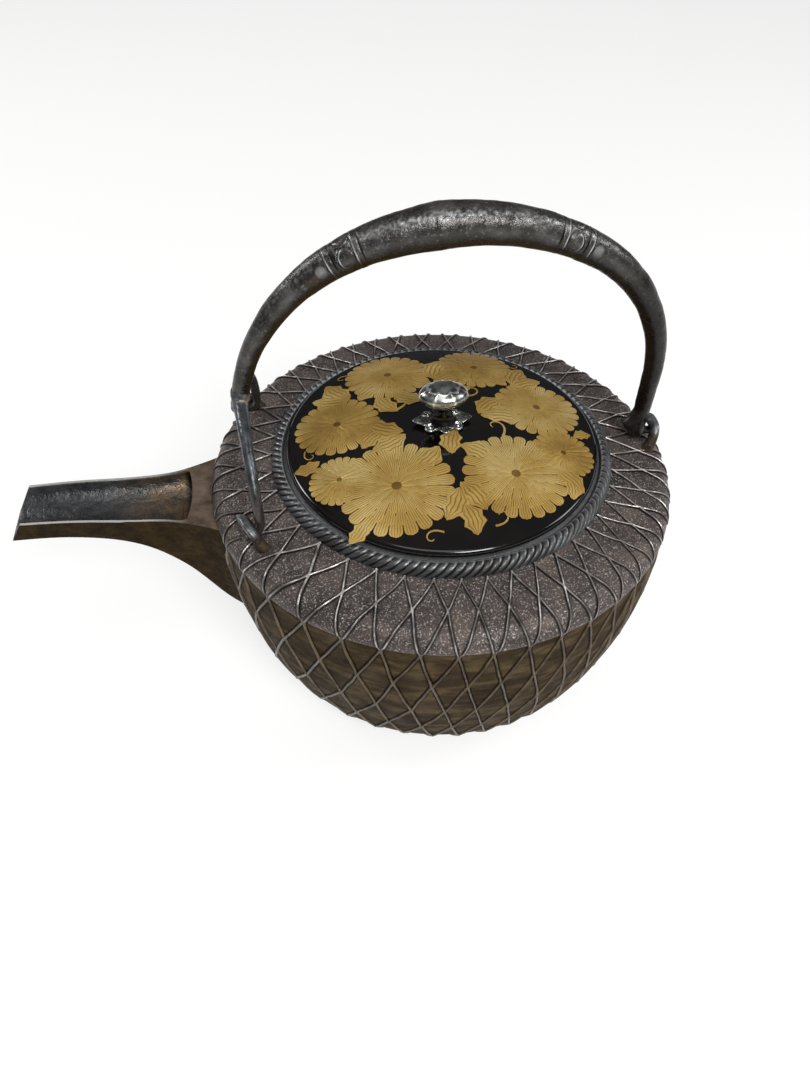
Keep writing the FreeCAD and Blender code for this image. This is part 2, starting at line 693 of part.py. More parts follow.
SUB_PARTS = [pot, handle_bail, front_yoke, lid, seat, knob, washer, pin]
for item in doc.Objects:
    if {"Invalid", "Error"} & set(item.State):
        raise RuntimeError("%s failed: %s" % (item.Name, item.State))
for part in SUB_PARTS:
    if part.Shape.isNull() or not part.Shape.isValid():
        raise RuntimeError("%s has no valid shape" % part.Label)

os.makedirs("parts", exist_ok=True)
for part in SUB_PARTS:
    part.Shape.exportStep(os.path.join("parts", part.Label + ".step"))
    box = part.Shape.optimalBoundingBox(False)
    print("%s: %d solid, %.0f mm3, %.1f x %.1f x %.1f mm" % (
        part.Label, len(part.Shape.Solids), part.Shape.Volume, box.XLength, box.YLength, box.ZLength))
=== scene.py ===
import math

import bpy
from mathutils import Matrix, Vector, noise


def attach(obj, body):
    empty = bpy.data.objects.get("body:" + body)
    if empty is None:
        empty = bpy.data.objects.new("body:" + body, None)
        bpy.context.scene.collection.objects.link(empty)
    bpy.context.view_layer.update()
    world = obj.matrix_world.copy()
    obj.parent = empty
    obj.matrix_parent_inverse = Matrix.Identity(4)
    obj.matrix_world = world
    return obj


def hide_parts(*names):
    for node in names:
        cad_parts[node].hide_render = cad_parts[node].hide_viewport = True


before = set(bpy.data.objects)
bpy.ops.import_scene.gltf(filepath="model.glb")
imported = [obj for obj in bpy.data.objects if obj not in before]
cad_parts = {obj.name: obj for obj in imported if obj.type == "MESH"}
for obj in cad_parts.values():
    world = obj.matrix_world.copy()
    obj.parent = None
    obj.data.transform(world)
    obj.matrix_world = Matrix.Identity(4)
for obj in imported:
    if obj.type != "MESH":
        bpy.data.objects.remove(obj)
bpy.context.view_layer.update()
bpy.ops.object.select_all(action="DESELECT")

# Bowl and shoulder: the body of the pot, cast in iron in a clay mould whose section was swept round.
# The shoulder rolls over a rounded edge to a crease at the widest line, and a low rim stands round the
# mouth. The skin is inset a little, so that the net cast on it ends where the casting does.
MM = 0.001
SKIN_INSET = 0.4
FOOT, TURN, CREASE = (50.0, 0.0), (70.5, 19.0), (79.3, 80.0)
STEP, EDGE, RIM_FOOT = (80.0, 80.7), (74.322, 87.407), (55.2, 90.607)
RIM_TOP = 92.007
CREASE_LOW, CREASE_HIGH = 79.7 * MM, 80.3 * MM
MOUTH = 46.8


def left_arc(start, end, radius, steps):
    """Points of the short arc from start to end that turns left on the way."""
    half = math.dist(start, end) / 2
    rise = math.sqrt(radius ** 2 - half ** 2)
    across, up = (end[0] - start[0]) / (2 * half), (end[1] - start[1]) / (2 * half)
    middle = ((start[0] + end[0]) / 2 - up * rise, (start[1] + end[1]) / 2 + across * rise)
    first = math.atan2(start[1] - middle[1], start[0] - middle[0])
    last = math.atan2(end[1] - middle[1], end[0] - middle[0])
    if last < first:
        last += 2 * math.pi
    turns = [first + (last - first) * step / steps for step in range(steps + 1)]
    return [(middle[0] + radius * math.cos(turn), middle[1] + radius * math.sin(turn)) for turn in turns]


def straight_line(start, end, steps):
    shares = [step / steps for step in range(steps + 1)]
    return [(start[0] + (end[0] - start[0]) * s, start[1] + (end[1] - start[1]) * s) for s in shares]


def inset_line(points, depth):
    """The same line moved to its left by a depth, with its ends kept."""
    moved = []
    for before, here, after in zip(points, points[1:], points[2:]):
        run = math.dist(before, after)
        moved.append((here[0] - (after[1] - before[1]) / run * depth,
                      here[1] + (after[0] - before[0]) / run * depth))
    return [points[0]] + moved + [points[-1]]


def named(name):
    """The piece just made, under its own name."""
    piece = bpy.context.object
    piece.name = piece.data.name = name
    return piece


def select_only(*pieces):
    """Select these pieces alone, the first of them active."""
    bpy.ops.object.select_all(action="DESELECT")
    for piece in pieces:
        piece.select_set(True)
    bpy.context.view_layer.objects.active = pieces[0]


def close_mesh():
    """Merge the doubled points of the mesh in edit mode, turn its faces outwards and leave edit mode."""
    bpy.ops.mesh.select_all(action="SELECT")
    bpy.ops.mesh.remove_doubles(threshold=0.001 * MM)
    bpy.ops.mesh.normals_make_consistent(inside=False)
    bpy.ops.object.mode_set(mode="OBJECT")


def spun_piece(name, points, steps, sharp_degrees=35):
    """A turned piece: one point, extruded along its profile and spun round the upright axis."""
    bpy.ops.object.select_all(action="DESELECT")
    bpy.ops.mesh.primitive_plane_add(size=MM)
    piece = named(name)
    bpy.ops.object.mode_set(mode="EDIT")
    bpy.ops.mesh.merge(type="CENTER")
    places = [Vector((across, 0.0, up)) * MM for across, up in points]
    bpy.ops.transform.translate(value=places[0])
    for here, there in zip(places, places[1:]):
        bpy.ops.mesh.extrude_region_move(TRANSFORM_OT_translate={"value": there - here})
    bpy.ops.mesh.select_all(action="SELECT")
    bpy.ops.mesh.spin(steps=steps, angle=2 * math.pi, center=(0, 0, 0), axis=(0, 0, 1))
    close_mesh()
    bpy.ops.object.shade_smooth_by_angle(angle=math.radians(sharp_degrees))
    return piece


def apply_modifier(piece, kind, **settings):
    select_only(piece)
    modifier = piece.modifiers.new(kind.lower(), kind)
    for setting, value in settings.items():
        setattr(modifier, setting, value)
    bpy.ops.object.modifier_apply(modifier=modifier.name)


cast_wall = (left_arc(FOOT, TURN, 30.0, 10) + left_arc(TURN, CREASE, 157.0, 36)[1:]
             + left_arc(STEP, EDGE, 6.8, 14) + straight_line(EDGE, RIM_FOOT, 16)[1:])
wall = inset_line(cast_wall, SKIN_INSET)
inner_wall = (left_arc((50.0, 4.2), (67.1, 20.13), 26.6, 8)
              + left_arc((67.1, 20.13), (75.9, 80.0), 153.6, 16)[1:]
              + left_arc((75.9, 80.0), (72.5, 84.0), 6.8, 4)[1:])
rim_line = [(55.2, 91.5), (55.05, 91.86), (54.7, RIM_TOP), (47.4, RIM_TOP), (46.98, 91.83), (MOUTH, 91.4),
            (MOUTH, 87.4)]
bowl = spun_piece("bowl", [(0.0, 0.0)] + straight_line((12.0, 0.0), (48.0, 0.0), 3) + wall + rim_line
                  + inner_wall[::-1] + [(0.0, 4.2)], 240)

# The net on the wall: rows of knots from the mouth to the foot, and the bearings of one row of knots,
# which the hand that laid the net spaced unevenly round the shoulder.
NET_CELLS = 43
KNOT_HEIGHTS = [89.62, 87.87, 79.0, 63.0, 45.5, 30.0, 15.5, 4.5]
CORD_CELLS = [-0.42, 0.0, 0.36, 0.70, 1.11, 1.41, 1.80, 2.19]
KNOT_CELLS = [-9, 0, 1, 2, 3, 5, 11, 15, 20, 25, 29, 34, 43]
KNOT_BEARINGS = [-227.1, -145.6, -134.6, -124.6, -115.2, -98.3, -51.7, -22.8, 18.6, 60.9, 94.9, 132.9, 214.4]
ROWS = list(range(len(KNOT_HEIGHTS)))


def between(value, known, results):
    """Straight-line reading of a table, carried on past its ends."""
    index = 1
    while index < len(known) - 1 and value > known[index]:
        index += 1
    share = (value - known[index - 1]) / (known[index] - known[index - 1])
    return results[index - 1] + (results[index] - results[index - 1]) * share


def hand_drift(point):
    """Degrees by which a cord strays at a point in metres."""
    return 0.5 * noise.noise(point * 45.0) + 0.25 * noise.noise(point * 130.0)


wall_radii, wall_heights = [point[0] for point in wall], [point[1] for point in wall]
wall_lengths = [0.0]
for here, there in zip(wall, wall[1:]):
    wall_lengths.append(wall_lengths[-1] + math.dist(here, there))
KNOT_LENGTHS = [between(height, wall_heights, wall_lengths) for height in KNOT_HEIGHTS]
row_of_length = [between(-length, [-known for known in KNOT_LENGTHS], ROWS) for length in wall_lengths]

point_rows = []
for vertex in bowl.data.vertices:
    radius, height = math.hypot(vertex.co.x, vertex.co.y) / MM, vertex.co.z / MM
    gaps = [abs(radius - across) + abs(height - up) for across, up in wall]
    nearest = min(gaps)
    point_rows.append(row_of_length[gaps.index(nearest)] if nearest < 0.1 else None)
NO_NET = (0.5, -20.0)
corners = []
for face in bowl.data.polygons:
    middle = math.degrees(math.atan2(face.center.y, face.center.x))
    for index in face.vertices:
        place, row = bowl.data.vertices[index].co, point_rows[index]
        if row is None:
            corners += NO_NET
            continue
        bearing = math.degrees(math.atan2(place.y, place.x))
        bearing += 360 * round((middle - bearing) / 360) - hand_drift(place)
        corners += (between(bearing, KNOT_BEARINGS, KNOT_CELLS) - between(row, ROWS, CORD_CELLS), row)
bowl.data.uv_layers.new(name="net").uv.foreach_set("vector", corners)


def srgb(code):
    """Linear colour of an sRGB hex code."""
    shares = [int(code[place:place + 2], 16) / 255 for place in (1, 3, 5)]
    return [share / 12.92 if share <= 0.04045 else ((share + 0.055) / 1.055) ** 2.4 for share in shares] + [1.0]


def node(material, kind, settings, sockets, output=0):
    """Adds a node with its settings, links or sets its sockets, and returns one of its outputs."""
    tree = material.node_tree
    made = tree.nodes[kind] if kind in ("Principled BSDF", "Background") else tree.nodes.new("ShaderNode" + kind)
    for setting, value in settings.items():
        if setting == "stops":
            ends = made.color_ramp.elements
            for stop, (share, colour) in ((ends[0], value[0]), (ends[1], value[-1])):
                stop.position, stop.color = share, srgb(colour)
            for share, colour in value[1:-1]:
                ends.new(share).color = srgb(colour)
        else:
            setattr(made, setting, value)
    for socket, value in sockets.items():
        if isinstance(value, bpy.types.NodeSocket):
            tree.links.new(value, made.inputs[socket])
        else:
            made.inputs[socket].default_value = value
    return made.outputs[output] if made.outputs else None


def new_material(name):
    """A new material, with the place on the piece that its patterns read."""
    material = bpy.data.materials.new(name)
    material.use_nodes = True
    return material, node(material, "TexCoord", {}, {}, "Object")


def per(size):
    """Scale of a texture whose features are this many millimetres apart."""
    return 1 / (size * MM)


# Cast iron, its skin baked and rusted to a patina: a sandy grain from the clay mould, with painted glints on
# the shoulder, purple-brown on the shoulder, warm brown on the bowl that is partly a painted reflection of a
# brown surface below, a painted highlight above the crease, and painted shade in the hollows beside the net.
# The grain is drawn coarser than real sand, so that it shows.
cast_iron, place = new_material("cast_iron_sandy_patina")
height = node(cast_iron, "SeparateXYZ", {}, {0: place}, 2)
swept = node(cast_iron, "Mapping", {}, {"Vector": place, "Scale": (1.0, 1.0, 3.0)})
patches = node(cast_iron, "TexNoise", {}, {"Vector": swept, "Scale": per(14), "Detail": 5.0, "Roughness": 0.62})
shoulder = node(cast_iron, "ValToRGB", {"stops": [(0.34, "#342d2b"), (0.5, "#483f3c"), (0.66, "#5d5149")]},
                {0: patches})
# The warm brown below the crease is partly the patina and partly a painted reflection of a brown surface below.
lower = node(cast_iron, "ValToRGB", {"stops": [(0.34, "#281e12"), (0.5, "#3a2f1f"), (0.66, "#584a34")]},
             {0: patches})
above = node(cast_iron, "MapRange", {}, {0: height, 1: CREASE_LOW, 2: CREASE_HIGH})
tone = node(cast_iron, "Mix", {"data_type": "RGBA"}, {0: above, 6: lower, 7: shoulder}, 2)
grit = node(cast_iron, "TexNoise", {}, {"Vector": place, "Scale": per(0.6), "Detail": 2.0, "Roughness": 0.7})
# Painted highlight: pale specks on the shoulder stand in for glints of light off the grain.
painted_grit_glints = node(cast_iron, "MapRange", {}, {0: grit, 1: 0.55, 2: 0.7, 4: 0.9})
painted_grit_glints = node(cast_iron, "Math", {"operation": "MULTIPLY"}, {0: painted_grit_glints, 1: above})
# Painted highlight: a pale line on the shoulder just above the crease.
painted_crease_highlight = node(cast_iron, "MapRange", {}, {0: height, 1: 81.6 * MM, 2: CREASE_HIGH, 4: 0.5})
painted_crease_highlight = node(cast_iron, "Math", {"operation": "MULTIPLY"}, {0: painted_crease_highlight, 1: above})
on_rim = node(cast_iron, "MapRange", {}, {0: height, 1: 0.0908, 2: 0.0911, 4: 0.8})
for share, colour in ((painted_grit_glints, "#b7b2ac"), (painted_crease_highlight, "#7c706a"), (on_rim, "#66686a")):
    tone = node(cast_iron, "Mix", {"data_type": "RGBA"}, {0: share, 6: tone, 7: srgb(colour)}, 2)
net_place = node(cast_iron, "UVMap", {"uv_map": "net"}, {})
cord = node(cast_iron, "SeparateXYZ", {}, {0: net_place}, 0)
row = node(cast_iron, "SeparateXYZ", {}, {0: net_place}, 1)
crossing = node(cast_iron, "Math", {"operation": "ADD"}, {0: cord, 1: row})
from_cord = node(cast_iron, "Math", {"operation": "PINGPONG"}, {0: cord, 1: 0.5})
from_crossing = node(cast_iron, "Math", {"operation": "PINGPONG"}, {0: crossing, 1: 0.5})
from_net = node(cast_iron, "Math", {"operation": "MINIMUM"}, {0: from_cord, 1: from_crossing})
# Painted shade: the iron is darkened along both sides of each cord of the net.
soot = node(cast_iron, "ValToRGB", {"stops": [(0.05, "#4d4743"), (0.1, "#ffffff")]}, {0: from_net})
tone = node(cast_iron, "Mix", {"data_type": "RGBA", "blend_type": "MULTIPLY"}, {0: 1.0, 6: tone, 7: soot}, 2)
wear = node(cast_iron, "TexNoise", {}, {"Vector": place, "Scale": per(6), "Detail": 4.0})
gloss = node(cast_iron, "MapRange", {}, {0: wear, 1: 0.3, 2: 0.7, 3: 0.34, 4: 0.56})
dull = node(cast_iron, "MapRange", {}, {0: above, 3: 0.2, 4: 0.0})
gloss = node(cast_iron, "Math", {"operation": "ADD"}, {0: gloss, 1: dull})
swell = node(cast_iron, "TexNoise", {}, {"Vector": place, "Scale": per(3.5), "Detail": 3.0})
pits = node(cast_iron, "Math", {"operation": "MULTIPLY_ADD"}, {0: swell, 1: 1.2, 2: grit})
grain = node(cast_iron, "Bump", {}, {"Strength": 0.75, "Distance": 0.4 * MM, "Height": pits})
metal = node(cast_iron, "MapRange", {}, {0: above, 3: 0.04, 4: 0.45})
shine = node(cast_iron, "MapRange", {}, {0: above, 3: 0.05, 4: 0.5})
node(cast_iron, "Principled BSDF", {}, {"Base Color": tone, "Metallic": metal, "Roughness": gloss, "Normal": grain,
                                        "Specular IOR Level": shine})


def finish_piece(piece, material, body, slot, *nodes):
    """Give a piece its material and its place in the frame."""
    piece.data.materials.clear()
    piece.data.materials.append(material)
    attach(piece, body)
    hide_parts(*nodes)


finish_piece(bowl, cast_iron, "pot", "cast_iron", "pot_body")

# Net: raised cords cast on the wall from the rope at the mouth to the foot, with a bead at each knot.
# Two families of cords cross, and handling has worn some of them nearly away; their bright tops are
# partly rubbed and partly painted highlight.
CORD_HALF, CORD_HEIGHT, CORD_ROOT = 0.41, 0.68, 0.35
CORD_SIDES, CORD_STEPS = 8, 90
FIRST_ROW, ROWS_LAID = -0.03, 7.3
KNOT_REACH, EDGE_ROW, EDGE_REACH, WORN_DEEP = 0.07, 1.85, 0.3, 0.4


def on_wall(bearing, length):
    """Point in metres on the wall, with the wall's outward direction there."""
    low, high = max(length - 1.0, 0.0), min(length + 1.0, wall_lengths[-1])
    across = between(high, wall_lengths, wall_radii) - between(low, wall_lengths, wall_radii)
    up = between(high, wall_lengths, wall_heights) - between(low, wall_lengths, wall_heights)
    turn = math.radians(bearing)
    radius, height = between(length, wall_lengths, wall_radii), between(length, wall_lengths, wall_heights)
    outward = Vector((up * math.cos(turn), up * math.sin(turn), -across)).normalized()
    return Vector((radius * math.cos(turn), radius * math.sin(turn), height)) * MM, outward


def grid_piece(name, columns, rows, shape):
    """A new piece from a grid whose points are laid out by a function of the shares of its two sides."""
    bpy.ops.object.select_all(action="DESELECT")
    bpy.ops.mesh.primitive_grid_add(x_subdivisions=columns, y_subdivisions=rows, size=1)
    piece = named(name)
    for vertex in piece.data.vertices:
        vertex.co = shape(vertex.co.x + 0.5, vertex.co.y + 0.5)
    return piece


def close_tube(sides):
    """In edit mode, join the two long sides of a grid rolled into a tube and cap its ends."""
    bpy.ops.mesh.select_all(action="SELECT")
    bpy.ops.mesh.remove_doubles(threshold=0.001 * MM)
    bpy.ops.mesh.fill_holes(sides=sides)
    bpy.ops.mesh.select_all(action="SELECT")


def net_cords(name, back_step):
    """One family of cords: the first rolled from a grid, the rest spun round, then laid by hand."""
    def cord_at(row):
        cell = between(row, ROWS, CORD_CELLS) - back_step * row
        return on_wall(cell * 360 / NET_CELLS, max(between(row, ROWS, KNOT_LENGTHS), 0.2))

    def shape(around, along):
        row = FIRST_ROW + along * ROWS_LAID
        point, outward = cord_at(row)
        side = outward.cross(cord_at(row + 0.02)[0] - point).normalized()
        knot = max(0.0, 1 - abs(row - round(row)) / KNOT_REACH)
        rolled_edge = max(0.0, 1 - abs(row - EDGE_ROW) / EDGE_REACH)
        wide = CORD_HALF * (1 + 0.7 * knot)
        high = CORD_HEIGHT * (1 + 0.4 * knot) * (1 - 0.4 * rolled_edge)
        turn = 2 * math.pi * around
        lift = high * math.sin(turn) if math.sin(turn) > 0 else CORD_ROOT * math.sin(turn)
        return point + side * (wide * math.cos(turn) * MM) + outward * (lift * MM)

    piece = grid_piece(name, CORD_SIDES, CORD_STEPS, shape)
    bpy.ops.object.mode_set(mode="EDIT")
    close_tube(CORD_SIDES)
    cell = math.radians(360 / NET_CELLS)
    bpy.ops.mesh.spin(steps=NET_CELLS - 1, dupli=True, angle=cell * (NET_CELLS - 1), center=(0, 0, 0),
                      axis=(0, 0, 1))
    close_mesh()
    for vertex in piece.data.vertices:
        even = math.degrees(math.atan2(vertex.co.y, vertex.co.x))
        bearing = between(even * NET_CELLS / 360 % NET_CELLS, KNOT_CELLS, KNOT_BEARINGS)
        laid = Matrix.Rotation(math.radians(bearing - even), 3, "Z") @ vertex.co
        laid = Matrix.Rotation(math.radians(hand_drift(laid)), 3, "Z") @ laid
        worn = max(0.0, noise.noise(laid * 75.0) + 0.1)
        slope = 1.0 if laid.z > 87.4 * MM else max(0.0, (laid.z / MM - STEP[1]) / 6.7)
        inward = Vector((-laid.x, -laid.y, 0.0)).normalized() * (1 - slope) - Vector((0, 0, slope))
        vertex.co = laid + inward * (WORN_DEEP * worn * MM)
    bpy.ops.object.shade_smooth_by_angle(angle=math.radians(60))
    return piece


# Rubbed cast iron: the same iron where handling has polished the relief, greyer and smoother. The pale
# tops of the cords are partly rubbed and partly painted highlight, and their flanks are painted shade.
rubbed_iron_painted_light, place = new_material("cast_iron_rubbed_relief_painted_light")
height = node(rubbed_iron_painted_light, "SeparateXYZ", {}, {0: place}, 2)
patches = node(rubbed_iron_painted_light, "TexNoise", {}, {"Vector": place, "Scale": per(5), "Detail": 5.0, "Roughness": 0.65})
shoulder = node(rubbed_iron_painted_light, "ValToRGB", {"stops": [(0.36, "#6b6462"), (0.5, "#928c89"), (0.64, "#c9c4c0")]},
                {0: patches})
# The brown of the lower cords is partly the patina and partly a painted reflection of a brown surface below.
lower = node(rubbed_iron_painted_light, "ValToRGB", {"stops": [(0.36, "#33291a"), (0.64, "#62533a")]}, {0: patches})
rolled = node(rubbed_iron_painted_light, "UVMap", {"uv_map": "UVMap"}, {})
around = node(rubbed_iron_painted_light, "SeparateXYZ", {}, {0: rolled}, 0)
off_crest = node(rubbed_iron_painted_light, "Math", {"operation": "SUBTRACT"}, {0: around, 1: 0.25})
off_crest = node(rubbed_iron_painted_light, "Math", {"operation": "ABSOLUTE"}, {0: off_crest})
# Painted light: the crest of each cord keeps the pale tone as a partly painted highlight, and its flanks go dark as
# painted shade.
crest = node(rubbed_iron_painted_light, "MapRange", {}, {0: off_crest, 1: 0.16, 2: 0.04})
shoulder = node(rubbed_iron_painted_light, "Mix", {"data_type": "RGBA"}, {0: crest, 6: srgb("#2f2827"), 7: shoulder}, 2)
above = node(rubbed_iron_painted_light, "MapRange", {}, {0: height, 1: CREASE_LOW, 2: CREASE_HIGH})
tone = node(rubbed_iron_painted_light, "Mix", {"data_type": "RGBA"}, {0: above, 6: lower, 7: shoulder}, 2)
fine = node(rubbed_iron_painted_light, "TexNoise", {}, {"Vector": place, "Scale": per(0.8), "Detail": 2.0})
gloss = node(rubbed_iron_painted_light, "MapRange", {}, {0: fine, 1: 0.3, 2: 0.7, 3: 0.26, 4: 0.5})
grain = node(rubbed_iron_painted_light, "Bump", {}, {"Strength": 0.5, "Distance": 0.25 * MM, "Height": fine})
metal = node(rubbed_iron_painted_light, "MapRange", {}, {0: above, 3: 0.15, 4: 0.65})
node(rubbed_iron_painted_light, "Principled BSDF", {}, {"Base Color": tone, "Metallic": metal, "Roughness": gloss, "Normal": grain})

for name, back_step in (("net_cords_right", 0), ("net_cords_left", 1)):
    finish_piece(net_cords(name, back_step), rubbed_iron_painted_light, "pot", "cast_iron", "pot_body")

# Rope moulding: a cast ring round the rim that imitates a laid rope, each strand a curved stroke that
# starts square at the inner ridge and trails away along the outer edge.
ROPE_STROKES, STROKE_STEPS, SECTION_STEPS = 126, 11, 39
ROPE_LINE, STROKE_DEPTH, STROKE_SHOWN = 56.0, 0.55, 0.92
STROKE_LEAD, STROKE_TRAIL = 2.6, 8.0
RIDGE_AT, RIDGE_WIDE = 0.29, 0.05
ROPE_SECTION = [(53.9, 91.0), (53.95, 92.2), (54.2, 92.75), (54.55, 93.2), (55.1, 93.52), (55.8, 93.6), (56.5, 93.42),
                (57.1, 93.05), (57.6, 92.5), (58.0, 91.85), (58.25, 91.05), (58.35, 90.2), (58.1, 89.5), (55.0, 90.0)]
hollows, glints = [], []


def paint(piece, name, values):
    """Give each point of a piece a value that its material reads."""
    piece.data.attributes.new(name, "FLOAT", "POINT").data.foreach_set("value", values)


def unit(value):
    """A value held between 0 and 1."""
    return min(1.0, max(0.0, value))


def rope_shape(along, across):
    """Point of the rope: its section, cut by strokes that trail back along the outer edge."""
    place = across * (len(ROPE_SECTION) - 1)
    index = min(int(place), len(ROPE_SECTION) - 2)
    here, there = Vector(ROPE_SECTION[index]), Vector(ROPE_SECTION[index + 1])
    radius, level = here.lerp(there, place - index)
    share = across / STROKE_SHOWN
    shift = STROKE_LEAD * share - STROKE_TRAIL * share ** 2
    phase = along * ROPE_STROKES % 1.0
    bulge = math.sin(math.pi * phase) ** 0.6
    laid = unit((share - 0.22) / 0.08)
    # Painted shade in the grooves between the strands; painted highlights on the inner ridge and on each strand.
    hollows.append(laid * unit(1.5 - bulge / 0.6))
    ridge = max(0.0, 1 - abs(share - RIDGE_AT) / RIDGE_WIDE)
    glints.append(max(ridge, laid * max(0.0, 1 - abs(phase - 0.74) / 0.12) * max(0.0, 1 - abs(share - 0.38) / 0.28)))
    sunk = STROKE_DEPTH * laid * (1 - bulge)
    turn = 2 * math.pi * along + shift / ROPE_LINE
    return Vector(((radius - sunk * share) * math.cos(turn), (radius - sunk * share) * math.sin(turn),
                   level - sunk * (1 - 0.5 * share))) * MM


rope = grid_piece("rope_moulding", ROPE_STROKES * STROKE_STEPS, SECTION_STEPS, rope_shape)
paint(rope, "hollow", hollows)
paint(rope, "glint", glints)
bpy.ops.object.mode_set(mode="EDIT")
close_mesh()
bpy.ops.object.shade_smooth_by_angle(angle=math.radians(70))

# Cast iron of the rope: bluish dark grey, with painted highlights on its ridge and strands and painted shade between
# them.
rope_iron, place = new_material("cast_iron_rope_lay")
groove = node(rope_iron, "Attribute", {"attribute_name": "hollow"}, {}, "Fac")
patches = node(rope_iron, "TexNoise", {}, {"Vector": place, "Scale": per(9), "Detail": 4.0})
tone = node(rope_iron, "ValToRGB", {"stops": [(0.36, "#403f3e"), (0.64, "#5e6062")]}, {0: patches})
glint = node(rope_iron, "Attribute", {"attribute_name": "glint"}, {}, "Fac")
# Painted highlight on the ridge and strands, then painted shade in the grooves.
tone = node(rope_iron, "Mix", {"data_type": "RGBA"}, {0: glint, 6: tone, 7: srgb("#c3c5c6")}, 2)
tone = node(rope_iron, "Mix", {"data_type": "RGBA"}, {0: groove, 6: tone, 7: srgb("#141211")}, 2)
fine = node(rope_iron, "TexNoise", {}, {"Vector": place, "Scale": per(0.8), "Detail": 2.0})
grain = node(rope_iron, "Bump", {}, {"Strength": 0.5, "Distance": 0.25 * MM, "Height": fine})
node(rope_iron, "Principled BSDF", {}, {"Base Color": tone, "Metallic": 0.55, "Roughness": 0.38, "Normal": grain})
finish_piece(rope, rope_iron, "pot", "cast_iron", "pot_body")

# Pouring channel: cast in one with the bowl, an open trough with thin lips over a keel that runs down
# into the wall. A short flat roof covers its root, over a passage, and its tip is cut back at a rake.
SPOUT_STATIONS = [70.5, 80.0, 93.0, 107.0, 127.5, 154.0]
SPOUT_TOPS = [80.0, 80.0, 80.0, 80.4, 81.9, 82.2]
SPOUT_HALVES = [20.4, 17.0, 12.4, 11.0, 10.05, 9.1]
SPOUT_DEPTHS = [56.7, 46.5, 27.0, 14.9, 10.95, 10.0]
KEEL_HALVES = [10.3, 10.3, 9.0, 8.6, 7.7, 7.6]
TIP_REACH, TIP_LOW, TIP_RAKE = 148.0, 72.2, 0.6
ROOF_REACH, TROUGH_END = 88.0, 160.0
TROUGH_DEEP, TROUGH_FALL, TROUGH_HOLLOW = 8.6, 2.6, 1.3
PASSAGE_START, PASSAGE_LONG, PASSAGE_TOP = 63.7, 27.7, 77.0
PASSAGE_HALF, PASSAGE_SPREAD, PASSAGE_DEEP = 8.0, 1.6, 5.6
LIP = 0.65
FILLET, FILLET_REACH = 2.2, 6.0


def smooth(value, known, results):
    """Reading of a table on a smooth line through its points."""
    index = 1
    while index < len(known) - 1 and value > known[index]:
        index += 1
    slopes = []
    for here in (index - 1, index):
        low, high = max(here - 1, 0), min(here + 1, len(known) - 1)
        slopes.append((results[high] - results[low]) / (known[high] - known[low]))
    span = known[index] - known[index - 1]
    s = (value - known[index - 1]) / span
    return ((2 * s ** 3 - 3 * s ** 2 + 1) * results[index - 1] + (s ** 3 - 2 * s ** 2 + s) * span * slopes[0]
            + (3 * s ** 2 - 2 * s ** 3) * results[index] + (s ** 3 - s ** 2) * span * slopes[1])


def box_piece(name, cuts, shape):
    """A new piece from a box cut into small faces; shape lays out its points from three shares."""
    bpy.ops.object.select_all(action="DESELECT")
    bpy.ops.mesh.primitive_cube_add(size=1)
    piece = named(name)
    bpy.ops.object.mode_set(mode="EDIT")
    bpy.ops.mesh.select_all(action="SELECT")
    bpy.ops.mesh.subdivide(number_cuts=cuts)
    bpy.ops.object.mode_set(mode="OBJECT")
    for vertex in piece.data.vertices:
        vertex.co = shape(vertex.co.x + 0.5, vertex.co.y * 2, vertex.co.z + 0.5) * MM
    bpy.ops.object.mode_set(mode="EDIT")
    close_mesh()
    return piece


def spout_shape(along, side, level):
    """Point of the whole channel: flared sides over a keel, with a fillet where it meets the wall."""
    reach = SPOUT_STATIONS[0] + (SPOUT_STATIONS[-1] - SPOUT_STATIONS[0]) * along
    top = smooth(reach, SPOUT_STATIONS, SPOUT_TOPS)
    depth = smooth(reach, SPOUT_STATIONS, SPOUT_DEPTHS)
    low_half = smooth(reach, SPOUT_STATIONS, KEEL_HALVES)
    half = low_half + (smooth(reach, SPOUT_STATIONS, SPOUT_HALVES) - low_half) * level
    corner = max(0.0, 1 - level * depth / 2.0)
    across = side * half * (1 - 0.16 * corner ** 2)
    up = top - depth * (1 - level)
    off_wall = math.hypot(reach, across) - between(min(up, 80.0), wall_heights, wall_radii)
    swelling = FILLET * max(0.0, 1 - max(off_wall, 0.0) / FILLET_REACH) ** 2
    if abs(side) > 0.99:
        across += math.copysign(swelling, side) * min(1.0, level * depth / 3, (1 - level) * depth / 6 + 0.25)
    if level < 0.01:
        up -= swelling
    sunk = between(min(up, 80.0), wall_heights, wall_radii) - 1.2 - math.hypot(reach, across)
    return Vector((-reach - max(sunk, 0.0), across, up))


def trough_shape(along, side, level):
    """Point of the cutter for the open trough, round below and as wide as the lips leave it."""
    reach = ROOF_REACH + (TROUGH_END - ROOF_REACH) * along ** 1.5
    half = smooth(reach, SPOUT_STATIONS, SPOUT_HALVES) - LIP
    half *= 1 - 0.12 * max(0.0, 1 - (reach - ROOF_REACH) / 3.0) ** 2
    top = smooth(reach, SPOUT_STATIONS, SPOUT_TOPS)
    deep = TROUGH_DEEP - TROUGH_FALL * along
    taper = ((smooth(reach, SPOUT_STATIONS, SPOUT_HALVES) - smooth(reach, SPOUT_STATIONS, KEEL_HALVES))
             / smooth(reach, SPOUT_STATIONS, SPOUT_DEPTHS))
    if along == 0.0:
        reach -= TROUGH_HOLLOW * (1 - side ** 2)
    if level == 0.0:
        turn = side * math.pi / 2
        down = 1.0 + (deep - 1.0) * math.cos(turn) ** 0.75
        return Vector((-reach, (half - taper * down) * math.sin(turn), top - down))
    return Vector((-reach, side * (half - taper * max(0.0, 1.0 - 6.0 * level)), top - 1.0 + 6.0 * level))


